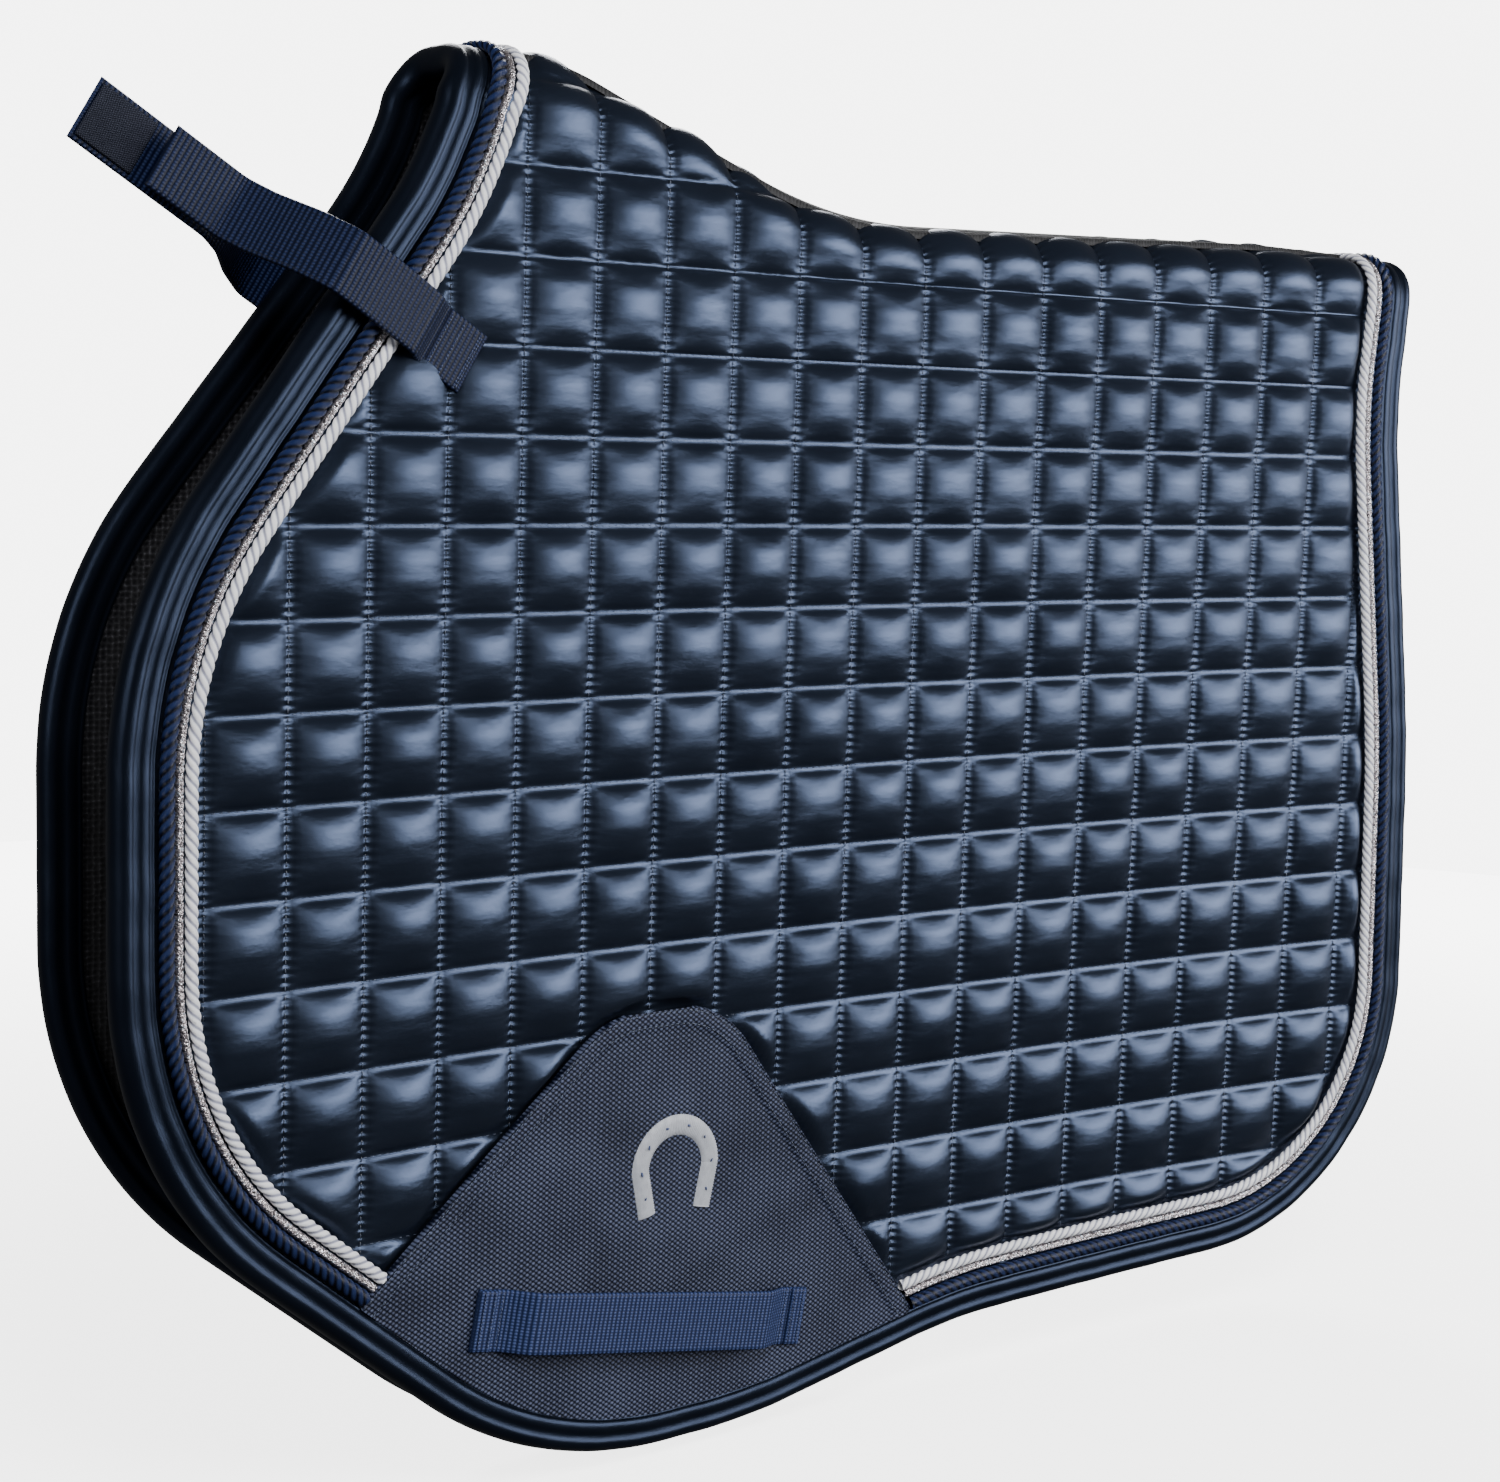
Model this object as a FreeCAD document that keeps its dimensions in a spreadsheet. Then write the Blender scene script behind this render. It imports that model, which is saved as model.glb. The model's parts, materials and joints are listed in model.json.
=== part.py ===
"""Saddle pad: two bowed, quilted flaps hung from a shaped crest, with bindings, cords, girth loops
and billet straps.

Frame: millimetres, +Z up, -X towards the horse's head, -Y is the horse's left side. The origin is on the
underside of the crest, above the lowest part of the horse's back, where the pad rests on it.
Right-hand pieces are mirror images of the left-hand ones, except for the longer right billet strap.
"""

import FreeCAD, Part
import math
import os

from FreeCAD import Placement, Rotation, Vector

SIZES = (
    # side view of the whole pad
    ("front_reach", 412.0, "origin to the foremost edge of the flap"),
    ("rear_reach", 304.0, "origin to the rearmost edge of the flap"),
    ("drop", 515.0, "origin to the lowest edge of the flap"),
    ("wither_height", 62.0, "top of the crest at the withers"),
    ("wither_top_x", 215.0, "where the crest starts to fall from the withers, ahead of the origin"),
    ("back_start_x", 68.0, "where the fall from the withers meets the back, ahead of the origin"),
    ("loin_height", 15.0, "top of the crest at the loin"),
    ("loin_x", 190.0, "where the crest turns down again, behind the origin"),
    ("crest_front_x", 262.0, "front end of the crest's top line"),
    ("crest_rear_x", 286.0, "rear end of the crest's top line"),
    # cross-section
    ("pad_thickness", 10.0, "satin to lining"),
    ("shell_thickness", 1.2, "satin with its backing"),
    ("lining_thickness", 1.2, "air-mesh lining"),
    ("layer_gap", 0.1, "clearance between layers"),
    ("half_width", 20.0, "middle plane to the outside of a flap, at the flap's middle"),
    ("bow_rise", 17.0, "how far the flap's ends flare outwards"),
    ("bow_span", 712.0, "length over which the ends flare"),
    ("bow_middle_x", 54.0, "middle of the flare, ahead of the origin"),
    ("crest_round", 18.0, "outside radius of the fold over the back"),
    ("seam_drop", 24.0, "top of the crest down to the flap's bend"),
    ("seam_gap", 6.0, "room for the bend to turn"),
    # edge trim
    ("binding_width", 16.0, "face width of the edge binding"),
    ("binding_proud", 0.8, "how far the binding stands proud of the panel"),
    ("trim_gap", 0.3, "clearance beside each cord"),
    ("navy_cord_width", 6.2, "twisted navy cord"),
    ("glitter_width", 4.0, "metallic braid"),
    ("white_cord_width", 5.2, "twisted white cord"),
    ("cord_split_in", 75.0, "where the front cords give way to the rear ones, behind the crest's front end"),
    ("spine_strip_width", 27.0, "mesh strip over the spine"),
    ("spine_strip_thickness", 1.4, "mesh strip"),
    # girth patch and loop
    ("patch_thickness", 1.2, "woven nylon patch"),
    ("patch_front_in", 82.0, "patch's front corner, behind the foremost edge"),
    ("patch_front_up", 72.0, "patch's front corner, above the lowest edge"),
    ("patch_top_up", 193.0, "patch's top edge, above the lowest edge"),
    ("patch_top_front_in", 225.0, "front end of the patch's top edge, behind the foremost edge"),
    ("patch_top_rear_in", 284.0, "rear end of the patch's top edge, behind the foremost edge"),
    ("patch_rear_in", 408.0, "patch's rear corner, behind the foremost edge"),
    ("patch_rear_up", 23.0, "patch's rear corner, above the lowest edge"),
    ("patch_round", 48.0, "radius of the patch's two top corners"),
    ("loop_length", 176.0, "girth loop, end to end"),
    ("webbing_width", 26.0, "webbing of the loop and the billet straps"),
    ("webbing_thickness", 2.0, "webbing"),
    ("loop_rise", 6.6, "room under the loop for the girth"),
    ("loop_tack", 14.0, "sewn length at each end of the loop"),
    ("loop_tilt", 10.0, "slope of the loop, degrees"),
    ("loop_middle_in", 246.0, "middle of the loop, behind the foremost edge"),
    ("loop_middle_up", 60.0, "middle of the loop, above the lowest edge"),
    ("loop_climb", 12.0, "length in which the loop leaves the patch at each end"),
    ("motif_size", 46.0, "embroidered horseshoe, width"),
    ("motif_band", 9.0, "embroidered horseshoe, width of its arm"),
    ("motif_thickness", 1.0, "embroidery"),
    ("motif_in", 261.0, "motif, behind the foremost edge"),
    ("motif_up", 123.0, "motif, above the lowest edge"),
    # billet straps
    ("strap_slope", 31.0, "strap's rise towards the front, degrees"),
    ("strap_cross_drop", 98.05, "top of the withers down to where the strap's lower edge leaves the flap"),
    ("strap_trim_room", 9.02, "sewn part to the innermost cord, along the strap's nearer edge"),
    ("anchor_length", 20.0, "sewn part of the strap"),
    ("strap_seat", 0.9, "clearance of the strap to the panel under it"),
    ("strap_clearance", 0.5, "strap to the trim that it passes over"),
    ("strap_step", 8.0, "length in which the strap climbs over the cords"),
    ("strap_past_edge", 5.75, "flap's edge to the strap's bend round it"),
    ("strap_turn", 34.0, "length in which the strap comes in to the middle plane"),
    ("left_strap_tail", 32.0, "strap along the middle plane, left"),
    ("right_strap_tail", 62.0, "strap along the middle plane, right"),
    ("strap_centre_gap", 3.4, "middle plane to the strap's end"),
    ("tape_length", 24.0, "hook-and-loop tape"),
    ("tape_thickness", 1.0, "hook-and-loop tape"),
)

CUTTER_TOP = 130.0
LAYER_MARGIN = 38.0
CUTTER_REACH = 90.0
RIDGE_FLOOR = -60.0


def millimetre_sheet(doc):
    """Writes the driving dimensions into the document's spreadsheet."""
    sheet = doc.addObject("Spreadsheet::Sheet", "Sizes")
    for row, (alias, value, note) in enumerate(SIZES, start=1):
        sheet.set("A%d" % row, alias)
        sheet.set("B%d" % row, repr(value))
        sheet.set("C%d" % row, note)
        sheet.setAlias("B%d" % row, alias)
    doc.recompute()
    return sheet


def rounded_outline(corners):
    """Closed wire through (x, z, radius) corners in the XZ plane, with a tangent arc at each rounded one."""
    points = [Vector(x, 0, z) for x, z, _ in corners]
    count = len(points)
    starts = []
    edges = []
    for i, (_, _, radius) in enumerate(corners):
        here = points[i]
        back = (points[i - 1] - here).normalize()
        ahead = (points[(i + 1) % count] - here).normalize()
        if radius <= 0:
            starts.append((here, here, None))
            continue
        half = back.getAngle(ahead) / 2
        reach = radius / math.tan(half)
        bisector = (back + ahead).normalize()
        depth = radius / math.sin(half) - radius
        starts.append((here + back * reach, here + ahead * reach, here + bisector * depth))
    for i, (entry, leave, middle) in enumerate(starts):
        if middle is not None:
            edges.append(Part.Arc(entry, middle, leave).toShape())
        following = starts[(i + 1) % count][0]
        edges.append(Part.LineSegment(leave, following).toShape())
    return Part.Wire(edges)


class PadBuilder:
    """Builds the pad's pieces from the sheet's sizes as parametric objects of one document."""

    def __init__(self):
        self.doc = FreeCAD.newDocument("SaddlePad")
        self.sheet = millimetre_sheet(self.doc)
        self.size = {alias: getattr(self.sheet, alias) for alias, _, _ in SIZES}
        self.pieces = []

    # -- helpers ---------------------------------------------------------------------------------

    def face(self, name, wire):
        """A side-view outline, as a face in the XZ plane."""
        feature = self.doc.addObject("Part::Feature", name)
        feature.Shape = Part.Face(wire)
        return feature

    def prism(self, name, base, direction=Vector(0, 1, 0), reach=CUTTER_REACH, forward=None, back=None):
        """Extrudes a face both ways; forward and back are sheet expressions."""
        body = self.doc.addObject("Part::Extrusion", name)
        body.Base = base
        body.DirMode = "Custom"
        body.Dir = direction
        body.Solid = True
        body.LengthFwd = reach
        body.LengthRev = reach
        if forward is not None:
            body.setExpression("LengthFwd", forward)
        if back is not None:
            body.setExpression("LengthRev", back)
        return body

    def cut(self, name, base, tool):
        """Base without tool."""
        result = self.doc.addObject("Part::Cut", name)
        result.Base = base
        result.Tool = tool
        return result

    def common(self, name, *shapes):
        """The solid that all the shapes share."""
        result = self.doc.addObject("Part::MultiCommon", name)
        result.Shapes = list(shapes)
        return result

    def mirrored(self, name, source):
        """The right-hand copy of a left-hand piece."""
        copy = self.doc.addObject("Part::Mirroring", name)
        copy.Source = source
        copy.Normal = Vector(0, 1, 0)
        copy.Base = Vector(0, 0, 0)
        return copy

    def keep(self, piece, label):
        """Names a finished piece, which is then written to its own file."""
        piece.Label = label
        self.pieces.append(piece)
        return piece

    def keep_pair(self, piece, label):
        """Keeps a left-hand piece and its mirror image."""
        self.keep(piece, "left_" + label)
        self.keep(self.mirrored("Right_" + label, piece), "right_" + label)

    def box(self, name, low, high):
        """A plain box between two corners, as a cutter."""
        body = self.doc.addObject("Part::Box", name)
        body.Length = high[0] - low[0]
        body.Width = high[1] - low[1]
        body.Height = high[2] - low[2]
        body.Placement.Base = Vector(*low)
        return body

    # -- shared outlines -------------------------------------------------------------------------

    def spine_points(self, lower=0.0, reach=60.0):
        """Corners of the crest's top line, from beyond its front end to beyond its rear end."""
        v = self.size
        run_out = 0.05
        return [
            (-v["crest_front_x"] - reach, v["wither_height"] + run_out * reach - lower, 0),
            (-v["wither_top_x"], v["wither_height"] - lower, 120),
            (-v["back_start_x"], v["loin_height"] - 6.7 - lower, 250),
            (v["loin_x"], v["loin_height"] - lower, 400),
            (v["crest_rear_x"] + reach, v["loin_height"] - run_out * reach - lower, 0),
        ]

    def front_edge(self):
        """Ends of the flap's straight front edge, as (x, z): below the withers and at its foremost point."""
        v = self.size
        return (-v["crest_front_x"] - 24, v["wither_height"] - 48), (-v["front_reach"], 362 - v["drop"])

    def trim_width(self):
        """Binding, cords and the clearance beside each, from the flap's edge inwards."""
        v = self.size
        return (v["binding_width"] + v["navy_cord_width"] + v["glitter_width"] + v["white_cord_width"]
                + 3 * v["trim_gap"])

    def build_cutters(self):
        """Makes the side-view envelope, its inset copies, and the prisms above the bend line."""
        v = self.size
        below_withers, foremost = self.front_edge()
        front, rear, drop = v["front_reach"], v["rear_reach"], v["drop"]
        front_top = -v["crest_front_x"] + 0.37 * (CUTTER_TOP - v["wither_height"])
        corners = [
            (front_top, CUTTER_TOP, 0),
            (*below_withers, 150),
            (*foremost, 180),
            (-front + 1, 155 - drop, 165),
            (194 - front, -drop, 190),
            (307 - front, 1 - drop, 300),
            (318 - rear + 1, 25 - drop, 300),
            (rear + 4, 37 - drop, 130),
            (rear - 4, 285 - drop, 600),
            (rear - 25, v["loin_height"] - 77, 250),
            (rear - 7, CUTTER_TOP, 0),
        ]
        self.envelope_face = self.face("EnvelopeFace", rounded_outline(corners))
        self.envelope = self.prism("Envelope", self.envelope_face)

        seam_low = v["seam_drop"] + v["seam_gap"]
        self.above_flap = self.prism("AboveFlap", self.face("AboveFlapFace", self.sky_wire(seam_low)))
        self.above_seam = self.prism("AboveSeam", self.face("AboveSeamFace", self.sky_wire(v["seam_drop"])))

    def sky_wire(self, lower):
        """Everything above the crest's top line moved down by lower."""
        points = self.spine_points(lower, reach=200.0)
        top = CUTTER_TOP + 40
        first, last = points[0], points[-1]
        return rounded_outline(points + [(last[0], top, 0), (first[0], top, 0)])

    def inset(self, name, expression):
        """A prism of the envelope moved inwards by a sheet expression."""
        outline = self.doc.addObject("Part::Offset2D", name + "Outline")
        outline.Source = self.envelope_face
        outline.Mode = 0
        outline.Join = 2
        outline.setExpression("Value", "-(%s)" % expression)
        return self.prism(name, outline)

    def bow_radius(self):
        """Plan radius of the flap's outer face, from its flare."""
        v = self.size
        half = v["bow_span"] / 2
        return (half * half + v["bow_rise"] ** 2) / (2 * v["bow_rise"])

    def surface_y(self, x, proud=0.0):
        """Y of the left flap's outer face at x, moved outwards by proud."""
        v = self.size
        radius = self.bow_radius()
        along = x + v["bow_middle_x"]
        return -(v["half_width"] + proud) - (radius - math.sqrt(radius * radius - along * along))

    def bow_spread(self):
        """Half the angle that a bowed layer turns through, past both ends of the flap."""
        v = self.size
        reach = max(v["front_reach"] - v["bow_middle_x"], v["rear_reach"] + v["bow_middle_x"]) + LAYER_MARGIN
        return math.asin(reach / self.bow_radius())

    def bow_slope(self, x):
        """Angle in degrees between the left flap's outer face at x and the X axis, seen from above."""
        along = x + self.size["bow_middle_x"]
        return -math.degrees(math.asin(along / self.bow_radius()))

    def plan_strip(self, outer, inner):
        """Plan-view wire of a bowed layer between two depths, positive inwards from the flap's outer face."""
        v = self.size
        centre = Vector(-v["bow_middle_x"], -(v["half_width"] + self.bow_radius()), 0)
        spread = self.bow_spread()
        arcs = []
        for depth in (outer, inner):
            radius = self.bow_radius() + depth
            points = [
                centre + Vector(radius * math.sin(turn), radius * math.cos(turn), 0)
                for turn in (-spread, 0, spread)
            ]
            arcs.append(points)
        first, second = arcs
        return Part.Wire([
            Part.Arc(*first).toShape(),
            Part.LineSegment(first[2], second[2]).toShape(),
            Part.Arc(*second[::-1]).toShape(),
            Part.LineSegment(second[0], first[0]).toShape(),
        ])

    def layer(self, name, outer, inner):
        """A bowed sheet over the whole left flap between two depths, as tall as the pad."""
        sheet = self.face(name + "Plan", self.plan_strip(outer, inner))
        depth = self.size["drop"] + LAYER_MARGIN
        return self.prism(name, sheet, Vector(0, 0, 1), forward="%f mm" % CUTTER_TOP, back="%f mm" % depth)

    # -- flap ------------------------------------------------------------------------------------

    def build_flaps(self):
        """Panel layers, binding and the six cord runs of each flap."""
        v = self.size
        thickness, gap = v["pad_thickness"], v["layer_gap"]
        field = self.cut("Field", self.inset("PanelInset", "Sizes.binding_width + Sizes.trim_gap"),
                         self.above_flap)
        shell_in = v["shell_thickness"]
        lining_out = thickness - v["lining_thickness"]
        for label, outer, inner in (
            ("satin_panel", 0.0, shell_in),
            ("wadding", shell_in + gap, lining_out - gap),
            ("mesh_lining", lining_out, thickness),
        ):
            self.keep_pair(self.common(label + "_solid", self.layer(label + "_layer", outer, inner), field),
                           label)

        proud = v["binding_proud"]
        frame = self.cut("BindingFrame", self.envelope, self.inset("BindingInset", "Sizes.binding_width"))
        self.binding_frame = frame
        low_frame = self.cut("LowBindingFrame", frame, self.above_flap)
        band = self.layer("BindingLayer", -proud, thickness + proud)
        self.keep_pair(self.common("BindingSolid", band, low_frame), "edge_binding")

        keepout_face = self.face("PatchKeepoutFace", self.patch_wire(v["trim_gap"]))
        patch_keepout = self.prism("PatchKeepout", keepout_face)
        split = v["cord_split_in"] - v["crest_front_x"]
        far = v["front_reach"] + CUTTER_REACH
        front_half = self.box("FrontHalf", (-far, -far, -far * 2), (split, far, far))
        rear_half = self.box("RearHalf", (split, -far, -far * 2), (far, far, far))
        start = "Sizes.binding_width + Sizes.trim_gap"
        for label, width in (("navy_cord", "navy_cord_width"), ("glitter_braid", "glitter_width"),
                             ("white_cord", "white_cord_width")):
            stop = start + " + Sizes." + width
            ring = self.cut(label + "_ring", self.inset(label + "_outer", start),
                            self.inset(label + "_inner", stop))
            ring = self.cut(label + "_low_ring", ring, self.above_flap)
            ring = self.cut(label + "_open_ring", ring, patch_keepout)
            start = stop + " + Sizes.trim_gap"
            rise = v[width] * 0.8
            sheet = self.layer(label + "_layer", -rise - gap, -gap)
            for end, half in (("front", front_half), ("rear", rear_half)):
                solid = self.common("%s_%s_solid" % (end, label), sheet, ring, half)
                self.keep_pair(solid, "%s_%s" % (end, label))

    # -- crest -----------------------------------------------------------------------------------

    def ridge(self, name, depth):
        """Solid under the folded crest, whose skin lies depth inside the pad's outer face."""
        v = self.size
        radius = self.bow_radius()
        spread = self.bow_spread()
        centre = Vector(-v["bow_middle_x"], -(v["half_width"] + radius), 0)
        inner = radius + depth
        left = [centre + Vector(inner * math.sin(a), inner * math.cos(a), 0) for a in (-spread, 0, spread)]
        right = [Vector(p.x, -p.y, 0) for p in left]
        plan = Part.Wire([
            Part.Arc(*left).toShape(),
            Part.LineSegment(left[2], right[2]).toShape(),
            Part.Arc(*right[::-1]).toShape(),
            Part.LineSegment(right[0], left[0]).toShape(),
        ])
        block = self.prism(name + "Plan", self.face(name + "PlanFace", plan), Vector(0, 0, 1),
                           forward="%f mm" % CUTTER_TOP, back="%f mm" % -RIDGE_FLOOR)
        points = self.spine_points(depth)
        side = points + [(points[-1][0], RIDGE_FLOOR, 0), (points[0][0], RIDGE_FLOOR, 0)]
        under = self.prism(name + "Side", self.face(name + "SideFace", rounded_outline(side)))
        blunt = self.common(name + "Blunt", block, under)
        self.doc.recompute()
        edges = []
        for index, edge in enumerate(blunt.Shape.Edges, start=1):
            box = edge.BoundBox
            along = box.XLength > 1.0
            at_top = box.ZMin > v["loin_height"] - 30 - depth
            flat_end = abs(edge.CenterOfMass.y) < 1.0
            if along and at_top and not flat_end:
                edges.append(index)
        rounding = self.doc.addObject("Part::Fillet", name)
        rounding.Base = blunt
        turn = v["crest_round"] - depth
        rounding.Edges = [(index, turn, turn) for index in edges]
        return rounding

    def build_crest(self):
        """The folded top of the pad, which joins the flaps: layers, end bindings and the spine strip."""
        v = self.size
        thickness, gap, proud = v["pad_thickness"], v["layer_gap"], v["binding_proud"]
        shell_in = v["shell_thickness"]
        lining_out = thickness - v["lining_thickness"]
        crown = self.common("CrownField", self.inset("CrownInset", "Sizes.binding_width + Sizes.trim_gap"),
                            self.above_seam)
        for label, outer, inner in (
            ("crest_cover", 0.0, shell_in),
            ("crest_wadding", shell_in + gap, lining_out - gap),
            ("crest_lining", lining_out, thickness),
        ):
            sheet = self.cut(label + "_sheet", self.ridge(label + "_outer", outer),
                             self.ridge(label + "_inner", inner))
            self.keep(self.common(label + "_solid", sheet, crown), label)

        sheet = self.cut("CrestBindingSheet", self.ridge("CrestBindingOuter", -proud),
                         self.ridge("CrestBindingInner", thickness + proud))
        ends = self.common("CrestBindingEnds", sheet, self.binding_frame, self.above_seam)
        far = v["front_reach"] + CUTTER_REACH
        front_half = self.box("CrestFront", (-far, -far, -far), (0, far, far))
        rear_half = self.box("CrestRear", (0, -far, -far), (far, far, far))
        self.keep(self.common("CrestFrontBinding", ends, front_half), "crest_front_binding")
        self.keep(self.common("CrestRearBinding", ends, rear_half), "crest_rear_binding")

        half = v["spine_strip_width"] / 2
        strip = self.cut("StripSheet", self.ridge("StripOuter", -gap - v["spine_strip_thickness"]),
                         self.ridge("StripInner", -gap))
        lane = self.box("StripLane", (-far, -half, -far), (far, half, far))
        self.keep(self.common("SpineStrip", strip, crown, lane), "spine_strip")

    # -- girth patch and loop --------------------------------------------------------------------

    def patch_wire(self, grow=0.0):
        """Side-view outline of the girth patch; it runs out below the flap, whose binding trims it."""
        v = self.size
        below = 30
        bottom, front = -v["drop"], -v["front_reach"]
        front_fall = below + v["patch_front_up"]
        rear_fall = below + v["patch_rear_up"]
        return rounded_outline([
            (front + v["patch_front_in"] - front_fall - grow, bottom - below, 0),
            (front + v["patch_front_in"] - grow, bottom + v["patch_front_up"] + grow, 0),
            (front + v["patch_top_front_in"], bottom + v["patch_top_up"] + grow, v["patch_round"]),
            (front + v["patch_top_rear_in"], bottom + v["patch_top_up"] + grow, v["patch_round"]),
            (front + v["patch_rear_in"] + grow, bottom + v["patch_rear_up"], 0),
            (front + v["patch_rear_in"] + grow + 0.7 * rear_fall, bottom - below, 0),
        ])

    def build_patch(self):
        """The nylon wear patch and its embroidered horseshoe."""
        v = self.size
        gap = v["layer_gap"]
        outer = gap + v["patch_thickness"]
        sheet = self.layer("PatchLayer", -outer, -gap)
        shape = self.prism("PatchShape", self.face("PatchFace", self.patch_wire()))
        field = self.inset("PatchField", "Sizes.binding_width + Sizes.trim_gap")
        self.keep_pair(self.common("PatchSolid", sheet, shape, field), "girth_patch")

        size, band = v["motif_size"], v["motif_band"]
        radius = size / 2
        leg = size * 0.42
        inner = radius - band
        shoe = Part.Wire([
            Part.Arc(Vector(-radius, 0, 0), Vector(0, 0, radius), Vector(radius, 0, 0)).toShape(),
            Part.LineSegment(Vector(radius, 0, 0), Vector(radius * 0.8, 0, -leg)).toShape(),
            Part.LineSegment(Vector(radius * 0.8, 0, -leg), Vector(radius * 0.8 - band, 0, -leg)).toShape(),
            Part.LineSegment(Vector(radius * 0.8 - band, 0, -leg), Vector(inner, 0, 0)).toShape(),
            Part.Arc(Vector(inner, 0, 0), Vector(0, 0, inner), Vector(-inner, 0, 0)).toShape(),
            Part.LineSegment(Vector(-inner, 0, 0), Vector(band - radius * 0.8, 0, -leg)).toShape(),
            Part.LineSegment(Vector(band - radius * 0.8, 0, -leg), Vector(-radius * 0.8, 0, -leg)).toShape(),
            Part.LineSegment(Vector(-radius * 0.8, 0, -leg), Vector(-radius, 0, 0)).toShape(),
        ])
        motif = self.prism("MotifSolid", self.face("MotifFace", shoe), reach=0.0,
                           back="Sizes.motif_thickness")
        x = v["motif_in"] - v["front_reach"]
        motif.Placement = Placement(Vector(x, self.surface_y(x, outer + 0.4), v["motif_up"] - v["drop"]),
                                    Rotation(Vector(0, 0, 1), self.bow_slope(x)))
        self.keep_pair(motif, "horseshoe_motif")

    def strip_body(self, name, profile, width_expression):
        """A PartDesign body of bent webbing: a side profile padded to the webbing's width.

        The profile lies in the body's XY plane: x runs along the strip and y towards its outer side.
        """
        body = self.doc.addObject("PartDesign::Body", name)
        plane = [f for f in body.Origin.OriginFeatures if f.Role == "XY_Plane"][0]
        sketch = body.newObject("Sketcher::SketchObject", name + "Profile")
        sketch.AttachmentSupport = [(plane, "")]
        sketch.MapMode = "FlatFace"
        count = len(profile)
        for i in range(count):
            start, end = profile[i], profile[(i + 1) % count]
            sketch.addGeometry(Part.LineSegment(Vector(start[0], start[1], 0), Vector(end[0], end[1], 0)))
        pad = body.newObject("PartDesign::Pad", name + "Pad")
        pad.Profile = sketch
        pad.Midplane = True
        pad.setExpression("Length", width_expression)
        return body

    def bent_profile(self, line, thickness):
        """Closed profile of a strip of even thickness whose inner face follows the line."""
        outer = []
        for i, (x, y) in enumerate(line):
            before = line[max(i - 1, 0)]
            after = line[min(i + 1, len(line) - 1)]
            into = math.atan2(y - before[1], x - before[0]) if i else None
            out = math.atan2(after[1] - y, after[0] - x) if i < len(line) - 1 else None
            if into is None:
                into = out
            if out is None:
                out = into
            middle = (into + out) / 2
            reach = thickness / math.cos((out - into) / 2)
            outer.append((x - reach * math.sin(middle), y + reach * math.cos(middle)))
        return list(line) + outer[::-1]

    def build_loop(self):
        """The girth loop: webbing sewn flat at both ends, standing off the patch between them."""
        v = self.size
        half, tack, rise = v["loop_length"] / 2, v["loop_tack"], v["loop_rise"]
        climb = v["loop_climb"]
        line = [(-half, 0), (-half + tack, 0), (-half + tack + climb, rise), (half - tack - climb, rise),
                (half - tack, 0), (half, 0)]
        body = self.strip_body("Loop", self.bent_profile(line, v["webbing_thickness"]), "Sizes.webbing_width")
        x = v["loop_middle_in"] - v["front_reach"]
        tilt = math.radians(v["loop_tilt"])
        ends = [x + side * half * math.cos(tilt) for side in (-1, 1)]
        stand = v["layer_gap"] + v["patch_thickness"] + v["trim_gap"]
        levels = [self.surface_y(end, stand) for end in ends]
        plan_turn = math.atan2(levels[1] - levels[0], ends[1] - ends[0])
        seat = min((levels[0] + levels[1]) / 2, self.surface_y(x, stand))
        axis_x = Vector(math.cos(tilt) * math.cos(plan_turn), math.sin(plan_turn), -math.sin(tilt))
        self.place_strip(body, Vector(x, seat, v["loop_middle_up"] - v["drop"]), axis_x)
        self.keep_pair(body, "girth_loop")

    def place_strip(self, body, origin, along, mirror_side=False):
        """Puts a strip body with its length along a direction and its outer side away from the horse."""
        x_axis = Vector(along).normalize()
        outward = Vector(0, 1 if mirror_side else -1, 0)
        z_axis = x_axis.cross(outward).normalize()
        y_axis = z_axis.cross(x_axis)
        body.Placement = Placement(origin, Rotation(x_axis, y_axis, z_axis, "ZXY"))

    # -- billet straps ---------------------------------------------------------------------------

    def strap_frame(self):
        """Direction of the left billet strap along the flap's face, and the place of its sewn end.

        The strap's lower edge leaves the flap at a set height, and its sewn part stays clear of the cords.
        """
        v = self.size
        slope = math.radians(v["strap_slope"])
        length = v["anchor_length"]
        upper, lower = self.front_edge()
        cross_z = v["wither_height"] - v["strap_cross_drop"]
        cross_x = upper[0] + (lower[0] - upper[0]) * (cross_z - upper[1]) / (lower[1] - upper[1])
        along = Vector(-math.cos(slope), 0, math.sin(slope))
        across = Vector(math.sin(slope), 0, math.cos(slope))
        start = (Vector(cross_x, 0, cross_z) + across * (v["webbing_width"] / 2)
                 - along * (self.hinge_to_edge() + length))
        start.y = self.surface_y(start.x, v["strap_seat"])
        end_y = self.surface_y(start.x + along.x * length, v["strap_seat"])
        along.y = (end_y - start.y) / length
        return along.normalize(), start

    def hinge_to_edge(self):
        """Length along the strap from its hinge to where its lower edge leaves the flap.

        The strap crosses the trim at a slant, so both the trim's and the webbing's widths lengthen it.
        """
        v = self.size
        slope = math.radians(v["strap_slope"])
        upper, lower = self.front_edge()
        edge_x, edge_z = lower[0] - upper[0], lower[1] - upper[1]
        length = math.hypot(edge_x, edge_z)
        sine = abs(math.cos(slope) * edge_z + math.sin(slope) * edge_x) / length
        cosine = abs(math.sin(slope) * edge_z - math.cos(slope) * edge_x) / length
        return (self.trim_width() + v["webbing_width"] * cosine) / sine + v["strap_trim_room"]

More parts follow.
